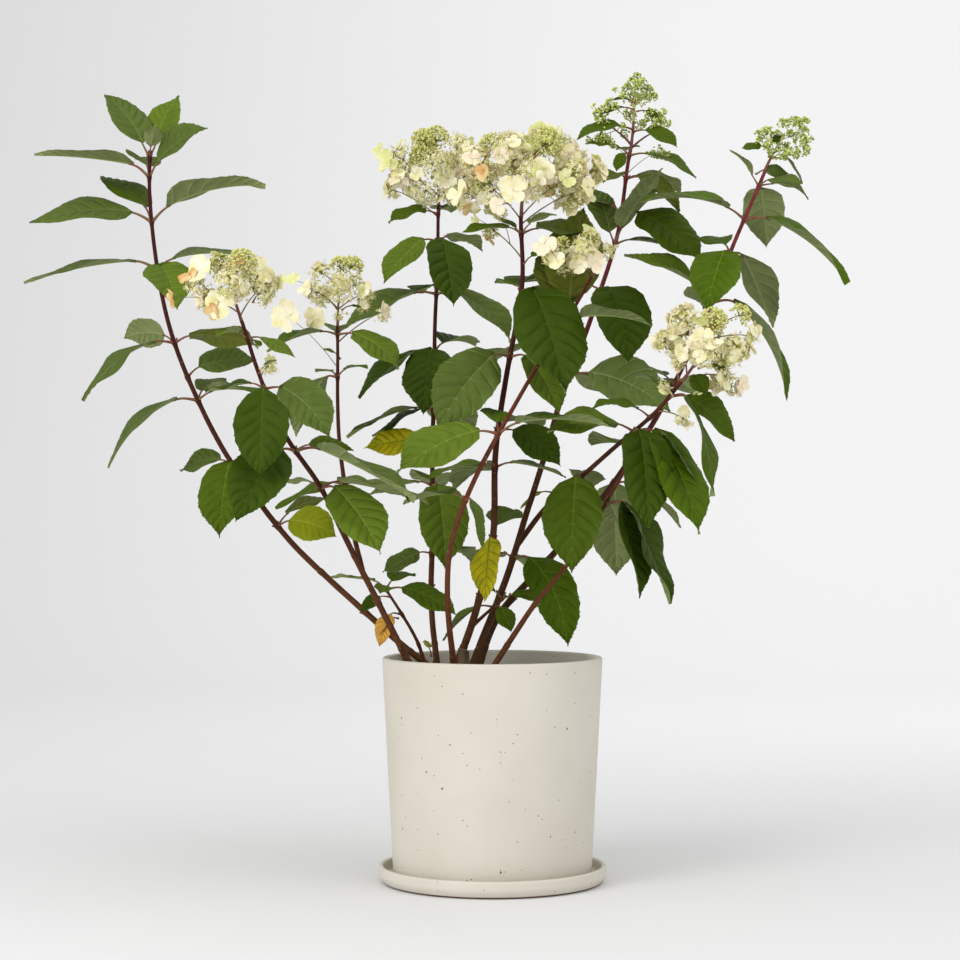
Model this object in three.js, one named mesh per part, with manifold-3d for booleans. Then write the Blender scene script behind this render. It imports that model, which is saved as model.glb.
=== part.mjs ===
// A panicle hydrangea grown in a speckled stoneware pot that stands in its saucer.
//
// Millimetres, +Z up. The origin is the middle of the saucer's underside. The crown
// is widest along X, and its open, lower-leaning stems come forward, towards -Y.
import * as THREE from "three";
import { mergeVertices } from "three/addons/utils/BufferGeometryUtils.js";
import Module from "manifold-3d";

const wasm = await Module();
wasm.setup();

// ------------------------------------------------------------- driving sizes
const GAP = 0.3; // clearance between neighbouring solids
const SOIL_TOP = 205;
const SAUCER = { outer: 118.5, foot: 111, height: 18, wall: 5.5, floor: 8, edge: 1.5 };
const POT = { rim: 114.5, foot: 103, top: 233, wall: 7, floor: 10, edge: 2.5 };
const ROUND = 32; // sides of the pot, the saucer and the soil

const STEM = { caneSides: 8, twigSides: 6, step: 46, swell: 1.3, swellReach: 9 };
const STUMP = { at: [-30, -8], radius: [6.8, 5.6], height: 38 };

// A leaf: its width over its length, the fold of its two halves, how far the blade
// bends along its length, and its stalk. A spread stands for what differs by leaf.
const LEAF = {
  width: 0.58, widthSpread: 0.05,
  fold: 14, foldSpread: 8,
  droop: 22, droopSpread: 18, droopByLength: 0.22,
  turnSpread: 12,
  thick: 1.5,
  stalk: 9, stalkByLength: 0.12, stalkRise: 35,
};
// The rings that a leaf is made of: where each lies, in mm along the stalk or as a
// share of the blade, and its half width, in mm or as a share of the blade's.
const LEAF_RINGS = [
  { stalk: -1.6, wide: 0 }, { stalk: 0.5, wide: 1.4 }, { blade: 0, wide: 1.1 },
  { blade: 0.2, wide: 0.84 }, { blade: 0.5, wide: 0.98 }, { blade: 0.8, wide: 0.58 },
  { blade: 1, wide: 0 },
];

// A flower head: a core with clusters round it, and showy florets that stand out.
const HEAD = { core: 0.36, coreTall: 0.4, cluster: 0.19, floretThick: 4 };
const GOLDEN = 137.508;

// ------------------------------------------------------------------ planting
// Each shoot has the points that its axis runs through from the soil, or from the
// stem it forks from, its thickness at both ends, the height where its leaves begin,
// and its whorls from the top down. A whorl is [height, leaf, leaf, ...], and a leaf
// is [length, heading, rise, twist, sag]: heading 0 is +X and 90 is +Y, rise is the
// slope of the line from the blade's foot to its tip, and twist turns its face towards
// -Y. Sag is how far the blade bends, where that isn't left to the leaf's own rule.
const SHOOTS = {
  far_left: {
    route: [
      [-46, 28, 205], [-115, 40, 260], [-235, 60, 375], [-318, 80, 505], [-357, 85, 620],
      [-368, 80, 720], [-369, 80, 772],
    ],
    thick: [7.2, 3.8], leafFrom: 358,
    whorls: [
      [764, [78, 151, 47, 35], [70, 54, 58, 10], [36, 290, 30]],
      [743, [108, 180, 5, -8, 12], [72, 338, 28, 60], [66, 110, 15]],
      [695, [112, 195, -8, 25, 30], [112, 355, 11, 8], [86, 140, 28, 5]],
      [645, [122, 190, -13, 10], [88, 292, -36], [88, 12, 1, 5]],
      [565, [104, 200, -41, -5, 45], [60, 148, -2, -60], [84, 340, -10, 30]],
      [528, [66, 22, 8, 48]],
      [503, [110, 205, -45, -3, 45], [80, 330, -6], [60, 70, 12]],
      [434, [98, 266, -56], [52, 158, -14, 45], [60, 40, -20]],
      [368, [72, 322, -14, 65], [64, 35, 15]],
    ],
  },
  left: {
    route: [
      [-72, -36, 205], [-130, -70, 320], [-170, -95, 405], [-205, -115, 460],
      [-232, -130, 525], [-246, -145, 572],
    ],
    thick: [7.2, 3.6], leafFrom: 398,
    whorls: [
      [555, [42, 345, -30, 20], [34, 235, -10]],
      [506, [98, 271, -68], [78, 333, -42, 48], [50, 165, -10, 15]],
      [445, [104, 238, -44, 30], [120, 338, -26, -5, 10], [46, 10, -8, 30]],
      [408, [96, 315, -44, 35], [40, 150, -5], [86, 30, -12]],
    ],
    head: { lean: [180, 72], width: 88, height: 70, clusters: 7, florets: 5, floret: 17 },
  },
  left_fork: {
    route: [[-130, -70, 320], [-152, -20, 405], [-163, 30, 500], [-165, 60, 582]],
    thick: [5.2, 3.2], leafFrom: 402, from: "left",
    whorls: [
      [572, [66, 200, -22, 10], [70, 335, -36, 30], [56, 95, 0]],
      [526, [30, 240, -5], [38, 315, 0], [80, 136, -54]],
      [412, [78, 15, -20], [62, 195, -26, 5]],
    ],
    head: { lean: [60, 84], width: 72, height: 76, clusters: 6, florets: 3, floret: 18 },
  },
  base_twig: {
    route: [[-64, -6, 205], [-76, -9, 245], [-95, -20, 280], [-112, -28, 308]],
    thick: [4.4, 2.6], leafFrom: 270,
    whorls: [
      [304, [66, 345, -26, 35], [44, 60, 5], [30, 264, -15, 20], [46, 175, 5]],
      [278, [36, 215, -68, 20]],
    ],
  },
  back: {
    route: [[-56, 50, 205], [-65, 70, 270], [-65, 100, 340], [-65, 140, 490], [-60, 190, 728]],
    thick: [6.6, 3.6], leafFrom: 328,
    whorls: [
      [716, [48, 200, -20, 20], [60, 80, 0]],
      [685, [72, 208, -46, 35], [96, 285, -58], [64, 50, -10]],
      [625, [100, 190, -28, 15], [92, 338, -40, 12], [80, 100, 0]],
      [560, [90, 205, -38, 10], [100, 263, -50], [76, 60, 0]],
      [495, [84, 185, -25], [62, 165, -30, 30], [92, 70, -25]],
      [411, [98, 286, -72], [64, 160, -15], [90, 90, -10]],
      [338, [46, 195, -28, 35], [70, 60, -15]],
    ],
    head: { lean: [190, 84], width: 108, height: 84, clusters: 8, florets: 5, floret: 17 },
  },
  front: {
    route: [
      [-38, -30, 205], [-45, -65, 300], [-40, -85, 360], [5, -72, 461], [79, -25, 586],
      [102, -35, 625],
    ],
    thick: [6.4, 3.4], leafFrom: 388,
    whorls: [
      [576, [80, 340, -8], [92, 96, 50], [66, 118, -22]],
      [463, [99, 203, -26, 28], [98, 345, -3, 0], [46, 100, 20]],
      [396, [58, 292, -60, -30], [70, 140, -10]],
    ],
    head: { lean: [190, 66], width: 70, height: 50, clusters: 5, florets: 3, floret: 17 },
  },
  center: {
    route: [
      [-46, 8, 205], [-20, 5, 270], [0, 5, 355], [5, 5, 465], [30, -5, 615], [30, -10, 690],
    ],
    thick: [8.4, 4.2], leafFrom: 346,
    whorls: [
      [672, [52, 200, -8, 10], [72, 25, -12, 35], [38, 320, 10]],
      [612, [128, 300, -61, 15], [52, 110, 5], [84, 80, 5]],
      [545, [112, 221, -47, 42], [80, 322, -55, 20], [80, 100, -8]],
      [468, [66, 341, -37, 40], [88, 65, -5]],
      [430, [58, 195, -15], [64, 15, -15], [78, 120, -20]],
      [356, [62, 70, 15], [76, 262, -60, -30]],
    ],
    head: { lean: [0, 82], width: 164, height: 94, clusters: 12, florets: 10, floret: 18 },
  },
  tall: {
    route: [
      [-28, 32, 205], [10, 60, 300], [40, 90, 390], [75, 120, 505], [135, 170, 675],
      [155, 190, 788],
    ],
    thick: [8, 4], leafFrom: 322,
    whorls: [
      [782, [42, 197, 2, 25], [68, 340, -28, 20], [48, 90, 5]],
      [755, [46, 240, -20], [68, 325, -40, 10], [68, 35, -15]],
      [715, [98, 330, -38, 40], [60, 160, 10]],
      [680, [66, 125, 58, 20], [90, 310, 42, 10], [72, 350, -15, 20]],
      [628, [106, 290, -58], [78, 60, -30], [76, 150, -10]],
      [532, [106, 338, -26, 60], [78, 120, 5], [84, 55, -20]],
      [334, [112, 318, -60, 25, 50], [76, 65, -30], [60, 130, -15]],
    ],
    head: { lean: [20, 86], width: 84, height: 88, clusters: 9, florets: 0, floret: 0 },
  },
  tall_fork: {
    route: [[25, 75, 345], [55, 50, 385], [115, -10, 440], [165, -60, 485], [190, -85, 515]],
    thick: [6, 3.8], leafFrom: 412, from: "tall",
    whorls: [
      [500, [68, 0, -44, 35], [108, 322, -73, -20], [62, 115, 10]],
      [480, [54, 205, 0, 10]],
      [466, [108, 280, -70, -12], [120, 326, -64, 12, 30], [90, 350, -58], [78, 195, -8, 20]],
      [420, [104, 255, -78], [70, 80, -15]],
    ],
    head: { lean: [350, 56], width: 94, height: 80, clusters: 8, florets: 6, floret: 17 },
  },
  right: {
    route: [
      [-18, 56, 205], [5, 70, 270], [55, 85, 325], [140, 115, 425], [213, 130, 550],
      [260, 125, 665], [297, 115, 755],
    ],
    thick: [8.2, 3.8], leafFrom: 406,
    whorls: [
      [738, [38, 195, 44, 20], [46, 318, -10, 20], [78, 75, -56], [46, 355, -24, 0, 60]],
      [702, [100, 190, 2, 10], [118, 345, -40, 15]],
      [665, [98, 247, -48, 10], [96, 45, -56], [66, 110, 10]],
      [612, [94, 193, 20, 30], [128, 345, -62, 3], [90, 90, -5]],
      [520, [84, 70, -10], [60, 130, 15]],
      [414, [110, 84, -74], [80, 20, -40]],
    ],
    head: { lean: [0, 62], width: 58, height: 56, clusters: 6, florets: 0, floret: 0 },
  },
  low_right: {
    route: [[-12, -38, 205], [36, -22, 278], [84, 8, 337], [154, 2, 453]],
    thick: [6.6, 3], leafFrom: 378,
    whorls: [
      [444, [84, 20, -50], [72, 120, 0]],
      [392, [104, 310, -73, -20], [116, 336, -66], [64, 75, -25]],
    ],
  },
  spur: {
    route: [[-23, 5, 262], [-8, 12, 276], [6, 18, 288], [14, 20, 296]],
    thick: [4.2, 2.4], leafFrom: 274, from: "center",
    whorls: [
      [292, [32, 345, -12, 40], [22, 150, 10]],
      [284, [34, 302, -52, 20], [54, 172, -44, 20]],
    ],
  },
};

// ------------------------------------------------------------------- helpers
const radians = THREE.MathUtils.degToRad;
const Z_AXIS = new THREE.Vector3(0, 0, 1);

// A repeatable number from 0 to 1 for each leaf and each of its features.
const chance = (seed, feature) => {
  const wave = Math.sin(seed * 12.9898 + feature * 78.233) * 43758.5453;
  return wave - Math.floor(wave);
};
const spread = (seed, feature) => 2 * chance(seed, feature) - 1;

const direction = (heading, rise) => new THREE.Vector3(
  Math.cos(radians(rise)) * Math.cos(radians(heading)),
  Math.cos(radians(rise)) * Math.sin(radians(heading)),
  Math.sin(radians(rise)),
);

// A closed geometry as a solid that can be joined and cut.
const toSolid = (geometry) => {
  const bare = new THREE.BufferGeometry();
  bare.setAttribute("position", geometry.attributes.position.clone());
  bare.setIndex(geometry.index);
  const merged = mergeVertices(bare, 1e-4);
  const corners = Array.from(merged.index.array);
  const triVerts = [];
  for (let i = 0; i < corners.length; i += 3) {
    const [a, b, c] = corners.slice(i, i + 3);
    if (a !== b && b !== c && c !== a) triVerts.push(a, b, c);
  }
  return new wasm.Manifold(new wasm.Mesh({
    numProp: 3,
    vertProperties: Float32Array.from(merged.attributes.position.array),
    triVerts: Uint32Array.from(triVerts),
  }));
};

const toGeometry = (solid) => {
  const mesh = solid.getMesh();
  const geometry = new THREE.BufferGeometry();
  geometry.setAttribute("position", new THREE.BufferAttribute(mesh.vertProperties, 3));
  geometry.setIndex(new THREE.BufferAttribute(mesh.triVerts, 1));
  geometry.computeVertexNormals();
  return geometry;
};

// The outer skin of the largest piece: scraps and sealed hollows are left behind.
const soundPiece = (solid) =>
  solid.decompose().reduce((best, piece) => (piece.volume() > best.volume() ? piece : best));

const boxesMeet = (one, other) => [0, 1, 2].every((axis) =>
  one.min[axis] <= other.max[axis] && other.min[axis] <= one.max[axis]);

const meets = (solid, other) =>
  boxesMeet(solid.boundingBox(), other.boundingBox()) && !solid.intersect(other).isEmpty();

// ------------------------------------------------------------ shapes of growth
// Bends a shape that was built along Y, from -0.5 to 0.5, along a stretch of a curve.
const bendAlong = (geometry, curve, start, end, sideways) => {
  const spots = geometry.attributes.position;
  const spot = new THREE.Vector3();
  for (let i = 0; i < spots.count; i += 1) {
    spot.fromBufferAttribute(spots, i);
    const along = start + (end - start) * (spot.y + 0.5);
    const forward = curve.getTangentAt(THREE.MathUtils.clamp(along, 0, 1));
    const across = sideways.clone().addScaledVector(forward, -sideways.dot(forward)).normalize();
    const over = across.clone().cross(forward);
    const centre = curve.getPointAt(THREE.MathUtils.clamp(along, 0, 1));
    centre.addScaledVector(across, spot.x).addScaledVector(over, spot.z);
    spots.setXYZ(i, centre.x, centre.y, centre.z);
  }
  return geometry;
};

const heightOn = (curve, height) => {
  let low = 0;
  let high = 1;
  for (let i = 0; i < 30; i += 1) {
    const middle = (low + high) / 2;
    if (curve.getPointAt(middle).z < height) low = middle;
    else high = middle;
  }
  return low;
};

const axisOf = (shoot) => {
  const points = shoot.route.map((spot) => new THREE.Vector3(...spot));
  if (!shoot.from) {
    const below = points[0].clone().sub(points[1]).setLength(12).add(points[0]);
    points.unshift(below);
  }
  return new THREE.CatmullRomCurve3(points, false, "centripetal");
};

// A round stem along part of a shoot's axis, tapering by its place on that axis. A
// stem that stands in the soil swells a little at its foot.
const stem = (shoot, start, end, sides, extra = 0) => {
  const steps = Math.max(2, Math.round((shoot.length * (end - start)) / STEM.step));
  const tube = new THREE.CylinderGeometry(1, 1, 1, sides, steps);
  const spots = tube.attributes.position;
  for (let i = 0; i < spots.count; i += 1) {
    const along = start + (end - start) * (spots.getY(i) + 0.5);
    const fromFoot = Math.max(0, along * shoot.length - 12);
    const swell = shoot.from ? 1 : 1 + (STEM.swell - 1) * Math.exp(-fromFoot / STEM.swellReach);
    const radius = (THREE.MathUtils.lerp(shoot.thick[0], shoot.thick[1], along) / 2) * swell;
    spots.setX(i, spots.getX(i) * (radius + extra));
    spots.setZ(i, spots.getZ(i) * (radius + extra));
  }
  return toSolid(bendAlong(tube, shoot.axis, start, end, new THREE.Vector3(0, 1, 0)));
};

// One leaf, stalk and blade in one piece. The blade is a thin shell with sharp
// margins: its two halves fold up from the midrib and it bends down along an arc.
const leaf = (shoot, height, [length, heading, rise, twist = 0, sag], seed, extra = 0) => {
  const node = shoot.axis.getPointAt(heightOn(shoot.axis, height));
  const droop = sag ?? LEAF.droop + LEAF.droopSpread * spread(seed, 1)
    + LEAF.droopByLength * (length - 60) * Math.cos(radians(rise));
  const width = length * (LEAF.width + LEAF.widthSpread * spread(seed, 2));
  const fold = Math.tan(radians(LEAF.fold + LEAF.foldSpread * spread(seed, 3)));
  const front = Math.cos(radians(heading)) < 0 ? -twist : twist;
  const turn = radians(front + LEAF.turnSpread * spread(seed, 4));
  const stalkRise = THREE.MathUtils.clamp(rise + LEAF.stalkRise, 5, 60);
  const stalkLength = LEAF.stalk + LEAF.stalkByLength * length;
  const foot = direction(heading, stalkRise).multiplyScalar(stalkLength).add(node);

  const first = radians(rise + droop / 2);
  const bend = radians(droop);
  const level = new THREE.Vector3(Math.sin(radians(heading)), -Math.cos(radians(heading)), 0);
  const frameAt = ({ stalk, blade, wide }) => {
    const angle = blade === undefined ? radians(stalkRise) : first - bend * blade;
    const forward = direction(heading, THREE.MathUtils.radToDeg(angle));
    const across = level.clone().applyAxisAngle(forward, blade === undefined ? 0 : turn);
    const centre = new THREE.Vector3();
    if (blade === undefined) {
      centre.copy(forward).multiplyScalar(stalk + (extra > 0 ? 5 : 0)).add(node);
    } else {
      const out = length * (Math.sin(first) - Math.sin(angle)) / bend;
      const up = length * (Math.cos(angle) - Math.cos(first)) / bend;
      centre.copy(direction(heading, 0)).multiplyScalar(out).addScaledVector(Z_AXIS, up).add(foot);
    }
    const half = blade === undefined || blade === 0 ? wide : (wide * width) / 2;
    return { centre, across, over: across.clone().cross(forward), half, isBlade: blade > 0 };
  };

  const shell = new THREE.SphereGeometry(1, 4, LEAF_RINGS.length - 1);
  const spots = shell.attributes.position;
  for (let i = 0; i < spots.count; i += 1) {
    const ring = Math.round((Math.acos(spots.getY(i)) / Math.PI) * (LEAF_RINGS.length - 1));
    const { centre, across, over, half, isBlade } = frameAt(LEAF_RINGS[LEAF_RINGS.length - 1 - ring]);
    const girth = Math.hypot(spots.getX(i), spots.getZ(i));
    const side = half > 0 ? spots.getX(i) / girth : 0;
    const face = half > 0 ? spots.getZ(i) / girth : 0;
    const lift = isBlade ? Math.abs(side) * half * fold : 0;
    const thick = isBlade ? LEAF.thick / 2 : half;
    centre.addScaledVector(across, side * (half + extra));
    centre.addScaledVector(over, lift + face * (thick + extra));
    spots.setXYZ(i, centre.x, centre.y, centre.z);
  }
  return toSolid(shell);
};

// A showy floret: four sepals in one thin piece, square to its stalk.
const floret = (centre, facing, radius) => {
  const sepals = new THREE.OctahedronGeometry(radius);
  sepals.scale(1, HEAD.floretThick / (2 * radius), 1);
  sepals.applyQuaternion(new THREE.Quaternion().setFromUnitVectors(
    new THREE.Vector3(0, 1, 0), facing,
  ));
  return toSolid(sepals.translate(centre.x, centre.y, centre.z));
};

// A flower head on the tip of its shoot. Clusters of small florets climb round its
// axis by the golden angle, narrowing to the top, and showy florets face outwards.
const head = (shoot, seed) => {
  const { lean, width, height, clusters, florets } = shoot.head;
  const up = direction(...lean);
  const beside = new THREE.Vector3(0, 1, 0).cross(up).normalize();
  const ahead = up.clone().cross(beside);
  const tip = shoot.axis.getPointAt(1);
  const tangent = shoot.axis.getTangentAt(1);
  const start = tip.clone().addScaledVector(tangent, GAP);
  const middle = tip.clone().addScaledVector(up, height * 0.5);
  const rachisPath = new THREE.QuadraticBezierCurve3(
    start, start.clone().addScaledVector(tangent, height * 0.2), middle,
  );
  const rachis = new THREE.CylinderGeometry(1.6, shoot.thick[1] / 2, 1, STEM.twigSides, 2);
  const girth = width * HEAD.core;
  const tallness = height * HEAD.coreTall;
  const core = new THREE.IcosahedronGeometry(1).scale(girth * 1.1, girth * 1.1, tallness * 1.1);
  core.applyQuaternion(new THREE.Quaternion().setFromUnitVectors(Z_AXIS, up));
  core.translate(middle.x, middle.y, middle.z);
  const pieces = [
    toSolid(bendAlong(rachis, rachisPath, 0, 1, new THREE.Vector3(0, 1, 0))),
    toSolid(core),
  ];

  for (let i = 0; i < clusters; i += 1) {
    const level = -0.55 + 1.5 * ((i + 0.5) / clusters);
    const round = Math.sqrt(1 - level ** 2) * girth;
    const outward = beside.clone().multiplyScalar(Math.cos(radians(i * GOLDEN)) * round)
      .addScaledVector(ahead, Math.sin(radians(i * GOLDEN)) * round)
      .addScaledVector(up, level * tallness);
    const spot = middle.clone().add(outward);
    outward.normalize();
    const radius = Math.min(width * HEAD.cluster, 19) * (1 + 0.15 * spread(seed + i, 5));
    const ball = new THREE.IcosahedronGeometry(radius);
    ball.rotateX(chance(seed + i, 6) * Math.PI);
    ball.translate(spot.x, spot.y, spot.z);
    pieces.push(toSolid(ball));
    if (i < florets) {
      const size = shoot.head.floret * (1 + 0.15 * spread(seed + i, 7));
      pieces.push(floret(spot.clone().addScaledVector(outward, radius * 0.7), outward, size));
    }
  }
  return soundPiece(wasm.Manifold.union(pieces));
};

// --------------------------------------------------------------- pot and soil
// A turned shape from its half outline of [radius, height] pairs.
const turned = (outline) => {
  const points = outline.map(([radius, height]) => new THREE.Vector2(radius, height));
  return new THREE.LatheGeometry(points, ROUND).rotateX(Math.PI / 2);
};

const saucerGeometry = () => {
  const { outer, foot, height, wall, floor, edge } = SAUCER;
  const inner = outer - wall;
  return turned([
    [0, 0], [foot, 0], [foot + 3, 2], [outer, floor], [outer, height - edge],
    [outer - edge, height], [inner + edge, height], [inner, height - edge],
    [inner, floor + 1.5], [inner - 1.5, floor], [0, floor],
  ]);
};

const POT_BASE = SAUCER.floor + GAP;
const potRadius = (height) =>
  THREE.MathUtils.mapLinear(height, POT_BASE, POT.top, POT.foot, POT.rim);

const potGeometry = () => {
  const { top, wall, floor, edge } = POT;
  const inside = POT_BASE + floor;
  return turned([
    [0, POT_BASE], [POT.foot - edge, POT_BASE], [potRadius(POT_BASE + edge), POT_BASE + edge],
    [potRadius(top - edge), top - edge], [POT.rim - edge, top],
    [POT.rim - wall + edge, top], [potRadius(top - edge) - wall, top - edge],
    [potRadius(inside + 4) - wall, inside + 4], [potRadius(inside) - wall - 4, inside],
    [0, inside],
  ]);
};

const soilGeometry = () => {
  const bottom = POT_BASE + POT.floor + GAP;
  return turned([
    [0, bottom], [potRadius(bottom) - POT.wall - 4 - GAP, bottom],
    [potRadius(bottom + 4) - POT.wall - GAP, bottom + 4],
    [potRadius(SOIL_TOP) - POT.wall - GAP, SOIL_TOP], [0, SOIL_TOP],
  ]);
};

// The ground under the shoots, that their flat feet are cut to.
const footCut = () => {
  const block = new THREE.BoxGeometry(300, 300, 100);
  return toSolid(block.translate(0, 0, SOIL_TOP + GAP - 50));
};

const stumpSolid = () => {
  const { at, radius, height } = STUMP;
  const trunk = new THREE.CylinderGeometry(radius[1], radius[0], height, 9, 1);
  trunk.rotateX(Math.PI / 2).translate(at[0], at[1], SOIL_TOP + GAP + height / 2);
  const slant = new THREE.BoxGeometry(40, 40, 20).rotateY(radians(14));
  return toSolid(trunk).subtract(toSolid(
    slant.translate(at[0], at[1], SOIL_TOP + height + 8),
  ));
};

// ------------------------------------------------------------------- assembly
const CLAY = { color: 0xded8cb, roughness: 0.75, metalness: 0 };
const EARTH = { color: 0x3a2e24, roughness: 1, metalness: 0 };
const BARK = { color: 0x5a3227, roughness: 0.7, metalness: 0 };
const OLD_WOOD = { color: 0x8a7a66, roughness: 0.9, metalness: 0 };
const FOLIAGE = { color: 0x44682f, roughness: 0.6, metalness: 0 };
const CREAM = { color: 0xe6e2bd, roughness: 0.8, metalness: 0 };
const BUDS = { color: 0xa4b868, roughness: 0.8, metalness: 0 };

const plant = new THREE.Group();
const place = (name, geometry, finish) => {
  const mesh = new THREE.Mesh(geometry, new THREE.MeshStandardMaterial(finish));
  mesh.name = name;
  plant.add(mesh);
};

place("saucer", saucerGeometry(), CLAY);
place("pot", potGeometry(), CLAY);
place("soil", soilGeometry(), EARTH);

const stump = stumpSolid();
place("stump", toGeometry(stump), OLD_WOOD);

// Every limb and flower head comes first, so that no leaf grows through one.
const cutLine = footCut();
const taken = [{ owner: "pot", solid: toSolid(potGeometry()) }, { owner: "stump", solid: stump }];
for (const [name, shoot] of Object.entries(SHOOTS)) {
  shoot.axis = axisOf(shoot);
  shoot.length = shoot.axis.getLength();
  const seam = heightOn(shoot.axis, shoot.leafFrom);
  const half = GAP / 2 / shoot.length;
  let cane = stem(shoot, 0, seam - half, STEM.caneSides);
  if (shoot.from) cane = cane.subtract(stem(SHOOTS[shoot.from], 0, 1, STEM.caneSides, GAP));
  else cane = cane.subtract(cutLine);
  cane = soundPiece(cane);
  shoot.twig = stem(shoot, seam + half, 1, STEM.twigSides);
  place(`cane_${name}`, toGeometry(cane), BARK);
  taken.push({ owner: name, solid: shoot.twig }, { owner: `cane_${name}`, solid: cane });
  if (shoot.head) {
    const bloom = head(shoot, name.length * 7);
    place(`panicle_${name}`, toGeometry(bloom), shoot.head.florets > 0 ? CREAM : BUDS);
    taken.push({ owner: `panicle_${name}`, solid: bloom });
  }
}

// Leaves grow whorl by whorl. One that would touch another shoot, a flower head or
// the pot is skipped, and the rest are fused to their own stem.
let seed = 0;
for (const [name, shoot] of Object.entries(SHOOTS)) {
  const growth = [shoot.twig];
  for (const [height, ...leaves] of shoot.whorls) {
    for (const size of leaves) {
      seed += 1;
      const room = leaf(shoot, height, size, seed, GAP);
      const blocked = taken.some(({ owner, solid }) => owner !== name && meets(room, solid));
      if (!blocked) growth.push(leaf(shoot, height, size, seed));
    }
  }
  const mass = soundPiece(wasm.Manifold.union(growth));
  place(`foliage_${name}`, toGeometry(mass), FOLIAGE);
  taken.push({ owner: name, solid: mass });
}

export default plant;
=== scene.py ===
# %% [markdown]
# # A potted panicle hydrangea, dressed leaf by leaf
#
# The plain solids give every stem, leaf and flower head its place and its size. This
# lesson puts the real surfaces over them: bark with rings and pores, leaves with veins
# and toothed margins, heads of showy and small florets, and a speckled pot in its saucer.
# Sizes are in millimetres until a mesh is made, and then in metres.

# %% Tools and the frame
import math

import bpy
import numpy as np
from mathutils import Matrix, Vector


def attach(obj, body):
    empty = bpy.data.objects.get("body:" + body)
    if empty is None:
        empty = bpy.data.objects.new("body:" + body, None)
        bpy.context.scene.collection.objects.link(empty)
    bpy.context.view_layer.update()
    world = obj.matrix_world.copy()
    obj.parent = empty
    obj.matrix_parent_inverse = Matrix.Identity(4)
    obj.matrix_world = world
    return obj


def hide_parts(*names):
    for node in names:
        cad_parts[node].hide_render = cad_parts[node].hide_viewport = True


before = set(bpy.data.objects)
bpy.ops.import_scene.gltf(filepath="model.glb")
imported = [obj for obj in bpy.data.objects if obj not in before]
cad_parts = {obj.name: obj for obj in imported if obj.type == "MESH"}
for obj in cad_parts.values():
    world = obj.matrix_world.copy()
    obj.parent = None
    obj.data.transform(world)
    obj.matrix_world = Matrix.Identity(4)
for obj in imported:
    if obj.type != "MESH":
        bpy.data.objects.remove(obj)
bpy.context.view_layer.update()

scene = bpy.context.scene
print("solids in the frame:", len(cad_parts))

# %% [markdown]
# ## Camera, light and floor
#
# The plant is looked at from its front, with the lens level with the lower crown, so
# that the pot's rim shows as a thin ellipse. A long lens keeps stems upright. Leaves show
# their veins only under light that comes from one side, so two lights stand on the left,
# one high for the crown and one low for the pot. A weaker one stands opposite, a wide one
# hangs above, and white all round fills the shade. The backdrop has a light of its own.


# %% Camera
def make_camera(place, focal, pitch, yaw):
    lens = bpy.data.cameras.new("camera")
    lens.lens = focal
    lens.sensor_width = 36
    lens.clip_end = 40
    camera = bpy.data.objects.new("camera", lens)
    camera.location = place
    camera.rotation_euler = (math.radians(90 + pitch), 0, math.radians(yaw))
    scene.collection.objects.link(camera)
    scene.camera = camera
    return camera


camera = make_camera(place=(0, -2.458, 0.400), focal=88.6, pitch=0.39, yaw=0.30)
print("camera at", tuple(round(value, 3) for value in camera.location))


# %% Lights
def soft_light(name, place, aim, size, power, colour=(1, 1, 1)):
    lamp = bpy.data.lights.new(name, "AREA")
    lamp.shape = "DISK"
    lamp.size = size
    lamp.energy = power
    lamp.color = colour
    light = bpy.data.objects.new(name, lamp)
    light.location = place
    look = Vector(aim) - Vector(place)
    light.rotation_euler = look.to_track_quat("-Z", "Y").to_euler()
    scene.collection.objects.link(light)
    return light


soft_light("key_light", (-1.8, -1.8, 1.8), (0, 0, 0.5), 1.4, 24, (1, 0.985, 0.96))
soft_light("side_light", (2.2, -1.8, 0.8), (0, 0, 0.3), 2.0, 13)
soft_light("top_light", (0.5, -0.4, 2.6), (0.3, -0.3, 0), 3.0, 20)
soft_light("low_light", (-1.7, -2.2, 0.5), (0, 0, 0), 1.6, 15)
soft_light("backdrop_light", (1.1, 1.4, 2.7), (1.3, 4.4, 1.3), 2.4, 40)

world = bpy.data.worlds.new("studio")
world.use_nodes = True
background = world.node_tree.nodes["Background"]
background.inputs["Color"].default_value = (1, 1, 1, 1)
background.inputs["Strength"].default_value = 0.65
scene.world = world
scene.view_settings.view_transform = "Standard"

# %% [markdown]
# ## Finishes
#
# Two effects come back in many finishes, so each is a node group that is made once:
# soft blotches that vary a colour, and a fine unevenness for a Bump node. Dark specks
# belong to the stoneware only. All patterns read object coordinates in metres, so they
# stay fixed to the pieces. Colours are written as they look on a screen, from 0 to 255.


# %% Colours, node groups and a plain finish
def paint(red, green, blue):
    """A screen colour from 0 to 255 as the linear colour that a shader takes."""
    shares = [value / 255 for value in (red, green, blue)]
    return tuple(
        share / 12.92 if share <= 0.04045 else ((share + 0.055) / 1.055) ** 2.4
        for share in shares
    )


def add_node(tree, kind, values=None, **settings):
    """A new node with its settings. Values go to its inputs by name or by number."""
    node = tree.nodes.new(kind)
    for label, setting in settings.items():
        setattr(node, label, setting)
    for socket, value in (values or {}).items():
        node.inputs[socket].default_value = value
    return node


def new_group(name, inputs, outputs):
    group = bpy.data.node_groups.new(name, "ShaderNodeTree")
    for label, kind, value in inputs:
        socket = group.interface.new_socket(label, in_out="INPUT", socket_type=kind)
        if value is not None:
            socket.default_value = value
    for label, kind in outputs:
        group.interface.new_socket(label, in_out="OUTPUT", socket_type=kind)
    return group, add_node(group, "NodeGroupInput"), add_node(group, "NodeGroupOutput")


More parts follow.
